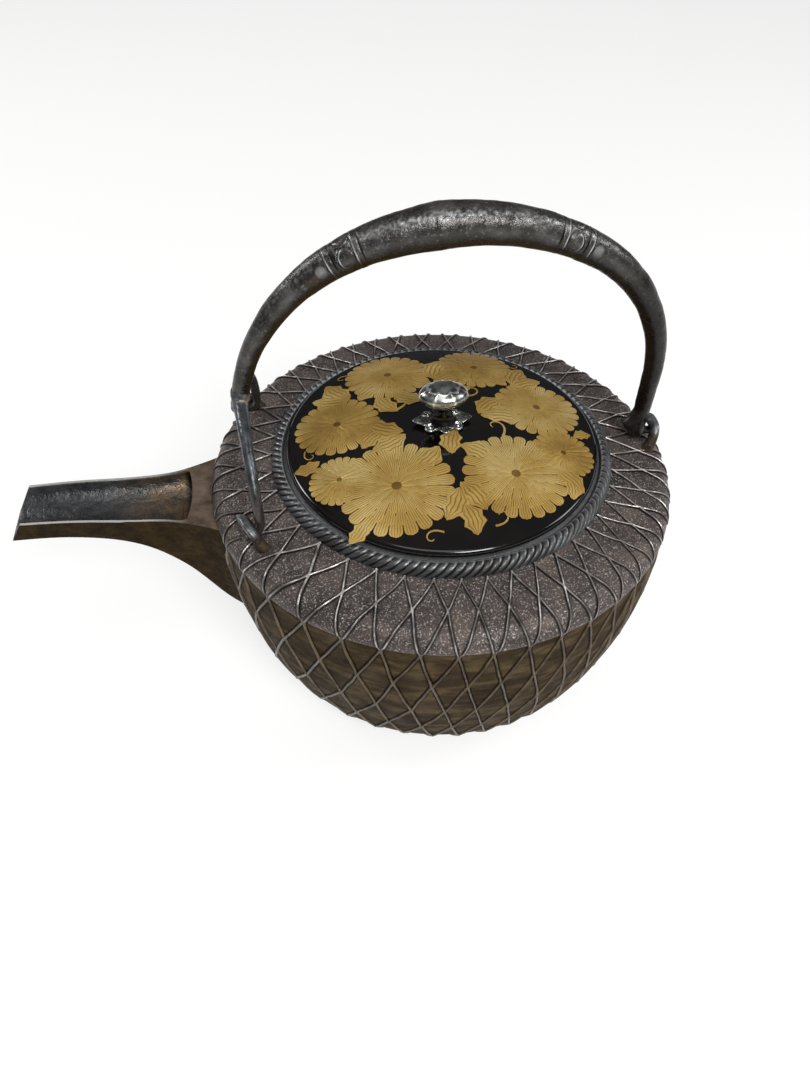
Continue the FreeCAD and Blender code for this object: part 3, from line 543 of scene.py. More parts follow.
def passage_shape(along, side, level):
    """Point of the cutter for the passage under the roof."""
    reach = PASSAGE_START + PASSAGE_LONG * along
    half = PASSAGE_HALF + PASSAGE_SPREAD * along
    if level == 0.0:
        turn = side * math.pi / 2
        return Vector((-reach, half * math.sin(turn), PASSAGE_TOP - PASSAGE_DEEP * math.cos(turn) ** 0.75))
    return Vector((-reach, side * half, PASSAGE_TOP + 0.6 * level))


spout = box_piece("pouring_channel", 39, spout_shape)
trough = box_piece("trough_cutter", 23, trough_shape)
passage = box_piece("passage_cutter", 7, passage_shape)
for cutter in (trough, passage):
    apply_modifier(spout, "BOOLEAN", operation="DIFFERENCE", object=cutter, solver="EXACT")
apply_modifier(bowl, "BOOLEAN", operation="DIFFERENCE", object=passage, solver="EXACT")
for cutter in (trough, passage):
    bpy.data.objects.remove(cutter)
select_only(spout)
bpy.ops.object.mode_set(mode="EDIT")
bpy.ops.mesh.select_all(action="SELECT")
bpy.ops.mesh.bisect(plane_co=(-TIP_REACH * MM, 0, TIP_LOW * MM), plane_no=(-1.0, 0, TIP_RAKE),
                    use_fill=True, clear_outer=True)
close_mesh()
apply_modifier(spout, "BEVEL", width=0.3 * MM, segments=2, limit_method="ANGLE", angle_limit=math.radians(38))
bpy.ops.object.shade_smooth_by_angle(angle=math.radians(32))
rubs_and_highlights, runs = [], []
for vertex in spout.data.vertices:
    reach, across, up = -vertex.co.x / MM, abs(vertex.co.y) / MM, vertex.co.z / MM
    top = smooth(min(reach, 154.0), SPOUT_STATIONS, SPOUT_TOPS)
    half = smooth(min(reach, 154.0), SPOUT_STATIONS, SPOUT_HALVES)
    on_lip = up > top - 0.35 and across > half - LIP - 0.3
    rubs_and_highlights.append(unit((reach - ROOF_REACH) / 14) if on_lip else 0.0)
    facing_in = vertex.normal.y * vertex.co.y < 0 or vertex.normal.z > 0.5
    runs.append(1.0 if facing_in and reach > ROOF_REACH - 3 and up < top - 0.5 else 0.0)
paint(spout, "rubbed", rubs_and_highlights)
paint(spout, "run", runs)

# Cast iron of the channel: dark brown outside, dark grey and pitted where the liquid runs, brown rust
# towards the root, thin lips rubbed bright, and a painted shadow on the trough floor under the roof's edge.
spout_iron, place = new_material("cast_iron_channel")
reach = node(spout_iron, "SeparateXYZ", {}, {0: place}, 0)
run = node(spout_iron, "Attribute", {"attribute_name": "run"}, {}, "Fac")
rubbed = node(spout_iron, "Attribute", {"attribute_name": "rubbed"}, {}, "Fac")
patches = node(spout_iron, "TexNoise", {}, {"Vector": place, "Scale": per(8), "Detail": 5.0, "Roughness": 0.65})
outside = node(spout_iron, "ValToRGB", {"stops": [(0.35, "#20170b"), (0.55, "#312511"), (0.72, "#43341b")]},
               {0: patches})
height = node(spout_iron, "SeparateXYZ", {}, {0: place}, 2)
roof = node(spout_iron, "ValToRGB", {"stops": [(0.36, "#43382f"), (0.64, "#6b5c50")]}, {0: patches})
on_roof = node(spout_iron, "MapRange", {}, {0: height, 1: 0.0793, 2: 0.0799})
over_root = node(spout_iron, "MapRange", {}, {0: reach, 1: -0.094, 2: -0.09})
on_roof = node(spout_iron, "Math", {"operation": "MULTIPLY"}, {0: on_roof, 1: over_root})
outside = node(spout_iron, "Mix", {"data_type": "RGBA"}, {0: on_roof, 6: outside, 7: roof}, 2)
wet = node(spout_iron, "ValToRGB", {"stops": [(0.36, "#2c2d2e"), (0.62, "#464748")]}, {0: patches})
to_root = node(spout_iron, "MapRange", {}, {0: reach, 1: -0.116, 2: -0.096})
rusty = node(spout_iron, "MapRange", {}, {0: patches, 1: 0.36, 2: 0.56, 4: 0.85})
rusty = node(spout_iron, "Math", {"operation": "MULTIPLY"}, {0: rusty, 1: to_root})
wet = node(spout_iron, "Mix", {"data_type": "RGBA"}, {0: rusty, 6: wet, 7: srgb("#5d4931")}, 2)
# Painted shadow: a dark band on the trough floor just under the front edge of the roof.
painted_roof_shadow = node(spout_iron, "MapRange", {}, {0: reach, 1: -0.0905, 2: -0.0889, 4: 0.94})
wet = node(spout_iron, "Mix", {"data_type": "RGBA"}, {0: painted_roof_shadow, 6: wet, 7: srgb("#0f0c0a")}, 2)
tone = node(spout_iron, "Mix", {"data_type": "RGBA"}, {0: run, 6: outside, 7: wet}, 2)
tone = node(spout_iron, "Mix", {"data_type": "RGBA"}, {0: rubbed, 6: tone, 7: srgb("#b5b3af")}, 2)
pitted = node(spout_iron, "TexNoise", {}, {"Vector": place, "Scale": per(2.2), "Detail": 4.0, "Roughness": 0.6})
gloss = node(spout_iron, "MapRange", {}, {0: pitted, 1: 0.35, 2: 0.65, 3: 0.22, 4: 0.5})
dull = node(spout_iron, "MapRange", {}, {0: run, 3: 0.3, 4: 0.0})
gloss = node(spout_iron, "Math", {"operation": "ADD"}, {0: gloss, 1: dull})
deep = node(spout_iron, "MapRange", {}, {0: run, 3: 0.25, 4: 0.9})
relief = node(spout_iron, "Math", {"operation": "MULTIPLY"}, {0: pitted, 1: deep})
grain = node(spout_iron, "Bump", {}, {"Strength": 0.8, "Distance": 0.7 * MM, "Height": relief})
bare_and_highlight = node(spout_iron, "Math", {"operation": "MAXIMUM"}, {0: run, 1: rubbed})
metal = node(spout_iron, "MapRange", {}, {0: bare_and_highlight, 3: 0.02, 4: 0.5})
shine = node(spout_iron, "MapRange", {}, {0: bare_and_highlight, 3: 0.05, 4: 0.5})
node(spout_iron, "Principled BSDF", {}, {"Base Color": tone, "Metallic": metal, "Roughness": gloss, "Normal": grain,
                                         "Specular IOR Level": shine})
finish_piece(spout, spout_iron, "pot", "cast_iron", "pot_body")

# Lugs: three low arches cast on the shoulder, lumpy and rusty at their roots and rubbed grey on top, each
# with an eye for a hook of the handle.
ARCH_LEVEL, ARCH_HALF, ARCH_RADIUS = 94.3, 5.2, 1.5
LUG_PLACES = [("near_lug", 72.9, 205.0), ("far_lug", 72.9, 155.0), ("rear_lug", 74.6, 0.0)]


def bar_piece(points, radii, sides=6):
    """A new round bar along points in millimetres, with a radius at each: a bevelled line made a mesh."""
    bpy.ops.object.select_all(action="DESELECT")
    bpy.ops.curve.primitive_nurbs_path_add()
    line = bpy.context.object.data
    line.splines.clear()
    run = line.splines.new("POLY")
    run.points.add(len(points) - 1)
    for knot, point, radius in zip(run.points, points, radii):
        knot.co = (*(Vector(point) * MM), 1.0)
        knot.radius = radius
    line.dimensions, line.bevel_depth, line.bevel_resolution, line.use_fill_caps = "3D", MM, sides, True
    bpy.ops.object.convert(target="MESH")
    bpy.ops.object.mode_set(mode="EDIT")
    close_mesh()
    return bpy.context.object


def copy_of(piece):
    """A copy of a piece with a mesh of its own."""
    select_only(piece)
    bpy.ops.object.duplicate()
    return bpy.context.object


arch_points, arch_radii = [], []
for step in range(25):
    turn = math.pi * step / 24
    across = ARCH_HALF * math.copysign(abs(math.cos(turn)) ** 0.6, math.cos(turn))
    drop = 1 - math.sin(turn) ** 0.6
    arch_points.append((0.0, across * (1 + 0.25 * drop), ARCH_LEVEL - 9.0 * drop))
    arch_radii.append(ARCH_RADIUS * (1 + 0.5 * drop))
arch = bar_piece(arch_points, arch_radii, 8)
apply_modifier(arch, "REMESH", mode="VOXEL", voxel_size=0.28 * MM)

# Cast iron of the lugs: rust-brown at the roots, grey and smooth where the hooks and hands rub the top.
lug_iron, place = new_material("cast_iron_lug_rubbed")
height = node(lug_iron, "SeparateXYZ", {}, {0: place}, 2)
patches = node(lug_iron, "TexNoise", {}, {"Vector": place, "Scale": per(3), "Detail": 4.0, "Roughness": 0.65})
root = node(lug_iron, "ValToRGB", {"stops": [(0.36, "#1f1711"), (0.6, "#4c3d2e")]}, {0: patches})
crest = node(lug_iron, "ValToRGB", {"stops": [(0.36, "#464b4d"), (0.6, "#767b7d")]}, {0: patches})
rubbed = node(lug_iron, "MapRange", {}, {0: height, 1: 0.0925, 2: 0.0945})
tone = node(lug_iron, "Mix", {"data_type": "RGBA"}, {0: rubbed, 6: root, 7: crest}, 2)
gloss = node(lug_iron, "MapRange", {}, {0: rubbed, 3: 0.55, 4: 0.3})
fine = node(lug_iron, "TexNoise", {}, {"Vector": place, "Scale": per(1.0), "Detail": 3.0})
grain = node(lug_iron, "Bump", {}, {"Strength": 0.4, "Distance": 0.3 * MM, "Height": fine})
node(lug_iron, "Principled BSDF", {}, {"Base Color": tone, "Metallic": 0.55, "Roughness": gloss, "Normal": grain})

for name, radius, bearing in LUG_PLACES:
    copy_of(arch)
    lug = named(name)
    for vertex in lug.data.vertices:
        lumpy = 0.08 + 0.5 * unit((ARCH_LEVEL - vertex.co.z / MM) / 4)
        lump = lumpy * noise.noise(vertex.co * 300 + Vector((radius, bearing, 0)))
        lean = 0.35 * (vertex.co.z / MM - 92.0)
        placed = vertex.co + vertex.normal * (lump * MM) + Vector((radius + lean, 0, 0)) * MM
        vertex.co = Matrix.Rotation(math.radians(bearing), 3, "Z") @ placed
    bpy.ops.object.shade_smooth()
    finish_piece(lug, lug_iron, "pot", "cast_iron", "pot_body")
bpy.data.objects.remove(arch)

# Handle bail: a forged iron bar, thickest at the crown, bent in three arcs, with faint hammer marks. Two
# sets of bamboo-node rings are chased on it, with oval bosses between them, and its rear leg ends in a
# heel and a hook through the rear lug.
BAIL_FOOT = (70.4, 98.995)
BAIL_ARCS = [(52.0, 58.0), (81.0, 53.0), (62.0, 57.0)]
BAIL_STRAIGHT = 16.0
CROWN_RADIUS, REAR_RADIUS, FRONT_RADIUS, TAPER = 6.4, 2.8, 2.75, 1.35
arc_lengths = [radius * math.radians(degrees) for radius, degrees in BAIL_ARCS]
BAIL_LENGTH = BAIL_STRAIGHT + sum(arc_lengths)
BAIL_MIDDLE = BAIL_STRAIGHT + arc_lengths[0] + arc_lengths[1] / 2
CROWN_AT, NODES_AT = BAIL_MIDDLE + 14.0, BAIL_MIDDLE + 8.3
NODE_INNER, NODE_OUTER, BOSS_AT = 29.0, 37.3, 32.6
BOSS_LONG, BOSS_ROUND, BOSS_RISE = 2.3, 3.2, 0.3
RING_RISE, RING_HALF, LINE_DEEP = 0.16, 0.95, 0.3
LEAF_OFF, LEAF_LONG, LEAF_WIDE, LEAF_DEEP = 3.2, 1.7, 2.3, 0.25
BAR_SIDES, BAR_STEPS, UNDER_SWELL = 96, 640, 0.3
BAR_SHARES = [0.0, 0.156, 0.422, 0.5625, 0.828, 1.0]
BAR_PLACES = [3.0, NODES_AT - 45, NODES_AT - 25, NODES_AT + 25, NODES_AT + 45, BAIL_LENGTH]


def bail_at(distance):
    """Centre of the bar in millimetres and its heading, at a distance from the foot of the rear leg."""
    x, z, heading = BAIL_FOOT[0], BAIL_FOOT[1] + min(distance, BAIL_STRAIGHT), math.pi / 2
    left = distance - BAIL_STRAIGHT
    for (radius, degrees), length in zip(BAIL_ARCS, arc_lengths):
        swing = max(min(left, length), 0.0) / radius
        x += radius * (math.sin(heading + swing) - math.sin(heading))
        z += radius * (math.cos(heading) - math.cos(heading + swing))
        heading += swing
        left -= length
    return Vector((x, 0.0, z)), Vector((math.cos(heading), 0.0, math.sin(heading)))


def bail_radius(distance):
    """Half the thickness of the bar at a distance from the foot of the rear leg."""
    if distance <= CROWN_AT:
        return REAR_RADIUS + (CROWN_RADIUS - REAR_RADIUS) * (distance / CROWN_AT) ** TAPER
    share = (BAIL_LENGTH - distance) / (BAIL_LENGTH - CROWN_AT)
    return FRONT_RADIUS + (CROWN_RADIUS - FRONT_RADIUS) * share ** TAPER


def chasing(distance, turn, radius):
    """Height in millimetres of the chased work at a turn from the near side, with its painted highlight along the ring
    edges, bosses and leaf facets, and its painted shade in the chased lines.
    """
    off = abs(distance - NODES_AT)
    # Painted highlights beside the rings, on the bosses and on the leaf facets; the chased lines are cut into the bar
    # and painted dark as shade.
    height = painted_edge_highlight = line = 0.0
    if not NODE_INNER - 3 < off < NODE_OUTER + 7:
        return height, painted_edge_highlight, line
    for ring in (NODE_INNER, NODE_OUTER):
        step = off - ring
        height += RING_RISE * max(0.0, 1 - (step / RING_HALF) ** 4)
        painted_edge_highlight = max(painted_edge_highlight, 1 - abs(step - 0.7) / 0.3)
        line = max(line, 1 - abs(step + 1.05) / 0.28, 0.8 - abs(step - 1.2) / 0.25)
    for quarter in range(4):
        swing = (turn - math.radians(90 * quarter - 10) + math.pi) % (2 * math.pi) - math.pi
        long, wide = (off - BOSS_AT) / BOSS_LONG, swing * radius / BOSS_ROUND
        rim = math.hypot(long, wide)
        height += BOSS_RISE * max(0.0, 1 - rim ** 3)
        line = max(line, 1 - abs(rim - 1.08) / 0.12)
        painted_edge_highlight = max(painted_edge_highlight, min(1.0, 2.5 * max(long, 0.0)) * (1 - abs(rim - 0.9) / 0.12))
        leaf = math.hypot((off - NODE_OUTER - LEAF_OFF) / LEAF_LONG, swing * radius / LEAF_WIDE)
        height -= LEAF_DEEP * max(0.0, 1 - leaf ** 2)
        painted_edge_highlight = max(painted_edge_highlight, 0.4 * (1 - leaf ** 4) * unit(0.7 - swing * radius / 4))
    # The chasing and its painted light are strongest on the sides of the bar and faint on its top and underside.
    side = 0.15 + 0.85 * math.cos(turn + 0.35) ** 2
    return (height - LINE_DEEP * max(line, 0.0)) * side, max(painted_edge_highlight, 0.0) * side ** 1.5, max(line, 0.0) * side


rubs_and_highlights, painted_shades = [], []


def bar_shape(around, along):
    """Point of the bar, with its hammer marks and its chased work; a broken streak of painted highlight lies along the
    front of the crown, and painted shade darkens the underside.
    """
    distance = between(along, BAR_SHARES, BAR_PLACES)
    centre, heading = bail_at(distance)
    turn = 2 * math.pi * around
    out = Vector((0, -1, 0)) * math.cos(turn) + Vector((0, -1, 0)).cross(heading) * math.sin(turn)
    radius = bail_radius(distance) + UNDER_SWELL * max(0.0, math.sin(turn))
    place = (centre + out * radius) * MM
    dent = min(0.0, 0.22 * noise.noise(place * 130) + 0.1 * noise.noise(place * 360) - 0.1)
    height, painted_chased_highlight, soot = chasing(distance, turn, radius)
    crown = max(0.0, 1 - ((distance - CROWN_AT) / 62) ** 2)
    # Painted highlight: a broken bright streak along the front of the crown.
    bare_and_highlight = 0.7 * crown * max(0.0, math.cos(turn + 0.9)) ** 36 * max(0.0, 0.2 + noise.noise(place * 1100))
    rubs_and_highlights.append(min(1.0, max(painted_chased_highlight, bare_and_highlight)))
    # Painted shade: the chased lines and the underside of the bar are darkened.
    painted_shades.append(max(soot, 0.85 * unit((math.sin(turn) + 0.1) / 0.55)))
    return place + out * ((dent + height) * MM)


bar = grid_piece("handle_bar", BAR_SIDES, BAR_STEPS, bar_shape)
paint(bar, "rubbed", rubs_and_highlights)
paint(bar, "soot", painted_shades)
bpy.ops.object.mode_set(mode="EDIT")
close_tube(BAR_SIDES)
close_mesh()


def ball_piece(centre, sizes):
    """A small rounded lump in millimetres."""
    bpy.ops.object.select_all(action="DESELECT")
    bpy.ops.mesh.primitive_uv_sphere_add(segments=24, ring_count=14, radius=MM)
    ball = bpy.context.object
    for vertex in ball.data.vertices:
        vertex.co = Vector(size * part for size, part in zip(sizes, vertex.co)) + Vector(centre) * MM
    return ball


def join_pieces(name, pieces):
    select_only(*pieces)
    bpy.ops.object.join()
    return named(name)


def welded(name, pieces, voxel, relax):
    """Weld pieces into one forging: joined, made one skin and relaxed."""
    whole = join_pieces(name, pieces)
    apply_modifier(whole, "REMESH", mode="VOXEL", voxel_size=voxel * MM)
    apply_modifier(whole, "SMOOTH", factor=0.5, iterations=relax)
    bpy.ops.object.shade_smooth()
    return whole


BAR_LEVEL, HOOK_BEND, HOOK_RADIUS, HOOK_SWEEP = 90.745, 3.3, 1.5, 125.0


def hook_pieces(eye_radius, bearing, top, shift=0.0):
    """Hook of a leg: down inside its lug, out through the eye, and turned up a little past it."""
    turn = math.radians(bearing)
    toward = Vector((math.cos(turn), math.sin(turn), 0.0))
    aside = Vector((-math.sin(turn), math.cos(turn), 0.0)) * shift
    bend = BAR_LEVEL + HOOK_BEND
    points = [toward * (eye_radius - HOOK_BEND) + aside + Vector((0, 0, top))]
    for step in range(13):
        turn = math.radians(HOOK_SWEEP) * step / 12
        points.append(toward * (eye_radius - HOOK_BEND * math.cos(turn)) + aside
                      + Vector((0, 0, bend - HOOK_BEND * math.sin(turn))))
    return [bar_piece(points, [HOOK_RADIUS] * len(points)), ball_piece(points[-1], (1.55, 1.55, 1.55))]


# Heel of the rear leg: it swells to a toe that points inwards, and tapers again just clear of the shoulder.
HEEL_RINGS = [(89.0, 70.6, 2.3, 1.9), (92.5, 69.3, 3.7, 2.3), (95.2, 68.6, 4.4, 2.4), (97.6, 69.6, 3.4, 2.5),
              (100.5, 70.3, 2.9, 2.7), (107.0, 70.4, 2.75, 2.75)]
bpy.ops.object.select_all(action="DESELECT")
bpy.ops.mesh.primitive_circle_add(vertices=32, radius=MM, fill_type="NGON")
heel = bpy.context.object
level, middle, long, wide = HEEL_RINGS[0]
for vertex in heel.data.vertices:
    vertex.co = Vector((middle * MM + vertex.co.x * long, vertex.co.y * wide, level * MM))
bpy.ops.object.mode_set(mode="EDIT")
bpy.ops.mesh.select_all(action="SELECT")
for ring, after in zip(HEEL_RINGS, HEEL_RINGS[1:]):
    bpy.ops.mesh.extrude_region_move(
        TRANSFORM_OT_translate={"value": ((after[1] - ring[1]) * MM, 0, (after[0] - ring[0]) * MM)})
    bpy.ops.transform.resize(value=(after[2] / ring[2], after[3] / ring[3], 1), center_override=(after[1] * MM, 0, 0))
close_mesh()
heel_foot = welded("heel", [heel] + hook_pieces(74.6, 0.0, BAIL_FOOT[1]), 0.32, 3)
for vertex in heel_foot.data.vertices:
    vertex.co += vertex.normal * (0.15 * noise.noise(vertex.co * 330) * MM)
bail = join_pieces("handle_bar", [bar, heel_foot])
bpy.ops.object.shade_smooth_by_angle(angle=math.radians(50))

# Forged iron: brown-black oxide with bluish-grey bare spots, rust in patches, painted shade underneath and in the
# chased lines, painted highlights on the chased work and in a streak along the crown, and a waxy gloss from hands; the
# rear leg is the darkest.
forged_iron, place = new_material("forged_iron_black_oxide")
height = node(forged_iron, "SeparateXYZ", {}, {0: place}, 2)
patches = node(forged_iron, "TexNoise", {}, {"Vector": place, "Scale": per(8), "Detail": 5.0, "Roughness": 0.65})
tone = node(forged_iron, "ValToRGB", {"stops": [(0.36, "#2a2724"), (0.52, "#413e3b"), (0.7, "#5d5b58")]},
            {0: patches})
blotches = node(forged_iron, "TexNoise", {}, {"Vector": place, "Scale": per(13), "Detail": 4.0, "Roughness": 0.6})
low = node(forged_iron, "MapRange", {}, {0: height, 1: 0.104, 2: 0.096, 3: 0.6, 4: 0.47})
rusty = node(forged_iron, "Math", {"operation": "SUBTRACT"}, {0: blotches, 1: low})
rusty = node(forged_iron, "MapRange", {}, {0: rusty, 1: 0.0, 2: 0.12, 4: 0.7})
specks = node(forged_iron, "TexNoise", {}, {"Vector": place, "Scale": per(0.9), "Detail": 3.0, "Roughness": 0.65})
bare_and_highlight = node(forged_iron, "MapRange", {}, {0: specks, 1: 0.56, 2: 0.74, 4: 0.55})
rubbed = node(forged_iron, "Attribute", {"attribute_name": "rubbed"}, {}, "Fac")
soot = node(forged_iron, "Attribute", {"attribute_name": "soot"}, {}, "Fac")
along = node(forged_iron, "SeparateXYZ", {}, {0: place}, 0)
rear = node(forged_iron, "MapRange", {}, {0: along, 1: 0.04, 2: 0.066, 4: 0.8})
# Painted highlights on the chased work and the crown, and painted shade under the bar and in the chased lines.
for share, colour in ((rusty, "#4c3826"), (bare_and_highlight, "#8d9295"), (rubbed, "#cfd2d4"), (soot, "#110f0d"),
                      (rear, "#17110d")):
    tone = node(forged_iron, "Mix", {"data_type": "RGBA"}, {0: share, 6: tone, 7: srgb(colour)}, 2)
wear = node(forged_iron, "TexNoise", {}, {"Vector": place, "Scale": per(4), "Detail": 4.0, "Roughness": 0.6})
gloss = node(forged_iron, "MapRange", {}, {0: wear, 1: 0.3, 2: 0.7, 3: 0.22, 4: 0.42})
dents = node(forged_iron, "Math", {"operation": "MULTIPLY_ADD"}, {0: wear, 1: 1.6, 2: specks})
grain = node(forged_iron, "Bump", {}, {"Strength": 0.5, "Distance": 0.3 * MM, "Height": dents})
node(forged_iron, "Principled BSDF", {}, {"Base Color": tone, "Metallic": 0.6, "Roughness": gloss, "Normal": grain})
finish_piece(bail, forged_iron, "pot", "forged_iron", "handle_bail")

# Front yoke: a smoother forged fork that straddles the channel. Its tenon is brazed into the end of the
# bail, with a rough bright seam, and its two legs end in hooks through the front lugs.
HUB_LENGTH, LEG_TOP, LEG_FOOT, FRONT_EYE = 6.6, 2.4, 1.6, 72.9
bail_end, heading = bail_at(BAIL_LENGTH)
hub_points = [bail_end - heading * 1.2, bail_end + heading * 0.1, bail_end + heading * HUB_LENGTH]
yoke_parts = [bar_piece(hub_points, [2.95, 3.05, 2.5], 10)]
crotch = bail_end + heading * (HUB_LENGTH / 2)
foot_level = BAR_LEVEL + HOOK_BEND + HOOK_RADIUS
for bearing, shift in ((205.0, 2.0), (155.0, -2.0)):
    turn = math.radians(bearing)
    foot = (Vector((math.cos(turn), math.sin(turn), 0.0)) * (FRONT_EYE - HOOK_BEND)
            + Vector((-math.sin(turn), math.cos(turn), 0.0)) * shift)
    points, radii = [], []
    for step in range(25):
        bend = math.pi / 2 * step / 24
        flat = foot.lerp(crotch, 1 - math.cos(bend))
        points.append(Vector((flat.x, flat.y, foot_level + (crotch.z - foot_level) * math.sin(bend))))
        radii.append(LEG_FOOT + (LEG_TOP - LEG_FOOT) * (step / 24) ** 2)
    yoke_parts.append(bar_piece(points, radii, 8))
    yoke_parts += hook_pieces(FRONT_EYE, bearing, foot_level + HOOK_RADIUS, shift)
yoke = welded("handle_yoke", yoke_parts, 0.28, 3)
seam = []
for vertex in yoke.data.vertices:
    near = max(0.0, 1 - (vertex.co - (bail_end + heading * 1.5) * MM).length / (7.0 * MM))
    dent = 0.1 * noise.noise(vertex.co * 200) + (0.06 + 0.4 * near) * noise.noise(vertex.co * 620)
    vertex.co += vertex.normal * (dent * MM)
    seam.append(near)
paint(yoke, "seam", seam)

# Forged iron of the yoke: smoother and bluer than the bail, with rust above its feet and a bright seam
# of brazing metal at the fork.
yoke_iron, place = new_material("forged_iron_brazed_fork")
height = node(yoke_iron, "SeparateXYZ", {}, {0: place}, 2)
brazed = node(yoke_iron, "Attribute", {"attribute_name": "seam"}, {}, "Fac")
patches = node(yoke_iron, "TexNoise", {}, {"Vector": place, "Scale": per(5), "Detail": 5.0, "Roughness": 0.6})
tone = node(yoke_iron, "ValToRGB", {"stops": [(0.36, "#35383a"), (0.6, "#565b5f")]}, {0: patches})
low = node(yoke_iron, "MapRange", {}, {0: height, 1: 0.108, 2: 0.099})
low = node(yoke_iron, "Math", {"operation": "MULTIPLY"}, {0: low, 1: patches})
tone = node(yoke_iron, "Mix", {"data_type": "RGBA"}, {0: low, 6: tone, 7: srgb("#4a3524")}, 2)
bright = node(yoke_iron, "Math", {"operation": "MULTIPLY_ADD"}, {0: patches, 1: 0.8, 2: brazed})
bright = node(yoke_iron, "MapRange", {}, {0: bright, 1: 0.85, 2: 1.05, 4: 0.8})
tone = node(yoke_iron, "Mix", {"data_type": "RGBA"}, {0: bright, 6: tone, 7: srgb("#a39d93")}, 2)
fine = node(yoke_iron, "TexNoise", {}, {"Vector": place, "Scale": per(1.0), "Detail": 3.0})
gloss = node(yoke_iron, "MapRange", {}, {0: fine, 1: 0.3, 2: 0.7, 3: 0.24, 4: 0.42})
grain = node(yoke_iron, "Bump", {}, {"Strength": 0.35, "Distance": 0.25 * MM, "Height": fine})
node(yoke_iron, "Principled BSDF", {}, {"Base Color": tone, "Metallic": 0.65, "Roughness": gloss, "Normal": grain})
finish_piece(yoke, yoke_iron, "pot", "forged_iron", "front_yoke")

# Lid: turned from wood and lacquered black, a low dome with a rounded edge, and below it a flange that
# drops into the mouth.
LID_REST, LID_TOP, LID_UNDER, LID_EDGE, DOME = 92.207, 102.107, 97.707, 51.3, 185.0
dome_line = left_arc((LID_EDGE, LID_REST + 3.4), (11.0, LID_TOP), DOME, 40)
lid_line = ([(1.5, LID_UNDER), (7.8, LID_UNDER)] + left_arc((43.2, LID_REST), (7.8, LID_UNDER), DOME, 16)[::-1][1:]
            + [(43.2, 86.007), (46.2, 86.007), (46.2, LID_REST)]
            + left_arc((LID_EDGE, LID_REST), (LID_EDGE, LID_REST + 3.4), 1.7001, 12)
            + dome_line[1:] + [(6.0, LID_TOP), (1.5, LID_TOP), (1.5, LID_UNDER)])
lid = spun_piece("lid_lacquered", lid_line, 192)

# Black lacquer on wood: many thin polished coats, so a deep gloss with a faint waviness.
lacquer, place = new_material("black_lacquer_on_wood")
waves = node(lacquer, "TexNoise", {}, {"Vector": place, "Scale": per(12), "Detail": 3.0})
tone = node(lacquer, "ValToRGB", {"stops": [(0.35, "#060505"), (0.65, "#0d0a08")]}, {0: waves})
gloss = node(lacquer, "MapRange", {}, {0: waves, 1: 0.3, 2: 0.7, 3: 0.1, 4: 0.17})
grain = node(lacquer, "Bump", {}, {"Strength": 0.06, "Distance": 0.2 * MM, "Height": waves})
node(lacquer, "Principled BSDF", {}, {"Base Color": tone, "Roughness": gloss, "Normal": grain, "IOR": 1.45})
finish_piece(lid, lacquer, "lid", "lacquered_wood", "lid")

# Gold design on the lid: powdered gold on raised lacquer, chrysanthemums with their leaves and tendrils,
# drawn with fine engraved lines. A blossom, a leaf and a tendril are shaped flat, copied and laid on it.
LEAF, TENDRIL, FILM = 10.0, 16.0, 0.2


def petal_ring(count, inner, outer, lift):
    """One ring of petals: the first shaped from a grid, the others spun round the heart of the blossom."""
    def shape(u, v):
        v = 1 - (1 - v) ** 1.6
        side = 2 * u - 1
        reach = inner + (outer - inner) * v
        width = 0.94 * math.pi * reach / count * math.sqrt(max(0.0, 1 - max(0.0, (v - 0.72) / 0.28) ** 2))
        hump = 0.12 * (1 - side ** 2) * min(1.0, 4 * (1 - v))
        return Vector((reach, side * width, lift + hump)) * MM

    piece = grid_piece("petals", 4, 6, shape)
    apply_modifier(piece, "SOLIDIFY", thickness=FILM * MM, offset=-1.0)
    bpy.ops.object.mode_set(mode="EDIT")
    bpy.ops.mesh.select_all(action="SELECT")
    step = 2 * math.pi / count
    bpy.ops.mesh.spin(steps=count - 1, dupli=True, angle=step * (count - 1), center=(0, 0, 0), axis=(0, 0, 1))
    bpy.ops.mesh.select_all(action="SELECT")
    bpy.ops.mesh.normals_make_consistent(inside=False)
    bpy.ops.object.mode_set(mode="OBJECT")
    return piece


def leaf_shape(u, v):
    side = 2 * u - 1
    lobes = 1 - 0.3 * abs(math.sin(3 * math.pi * v)) ** 1.5
    width = 0.36 * LEAF * math.sin(math.pi * v) ** 0.75 * lobes
    bend = 0.9 * math.sin(math.pi * v)
    return Vector((LEAF * v, side * width + bend, 0.1 + 0.14 * (1 - abs(side)) * math.sin(math.pi * v))) * MM


def tendril_shape(u, v):
    x = y = heading = 0.0
    for step in range(int(28 * v + 0.5)):
        heading += 0.03 + 0.34 * (step / 28) ** 1.5
        x += TENDRIL / 28 * math.cos(heading)
        y += TENDRIL / 28 * math.sin(heading)
    side = (2 * u - 1) * (0.55 - 0.3 * v)
    return Vector((x - side * math.sin(heading), y + side * math.cos(heading), 0.12)) * MM


heart = spun_piece("heart", [(0.0, 0.45), (1.2, 0.4), (1.9, 0.25), (2.2, 0.0), (0.0, 0.0)], 20)
heart.data.uv_layers.new(name="UVMap")
blossom = join_pieces("blossom", [petal_ring(22, 9.6, 16.0, 0.05), petal_ring(20, 6.4, 12.6, 0.12),
                                  petal_ring(17, 3.8, 9.2, 0.2), petal_ring(12, 1.4, 5.8, 0.28), heart])
leaf = grid_piece("leaf", 4, 12, leaf_shape)
apply_modifier(leaf, "SOLIDIFY", thickness=FILM * MM, offset=-1.0)
tendril = grid_piece("tendril", 2, 28, tendril_shape)
apply_modifier(tendril, "SOLIDIFY", thickness=FILM * MM, offset=-1.0)


dome_radii, dome_levels = [-point[0] for point in dome_line], [point[1] for point in dome_line]


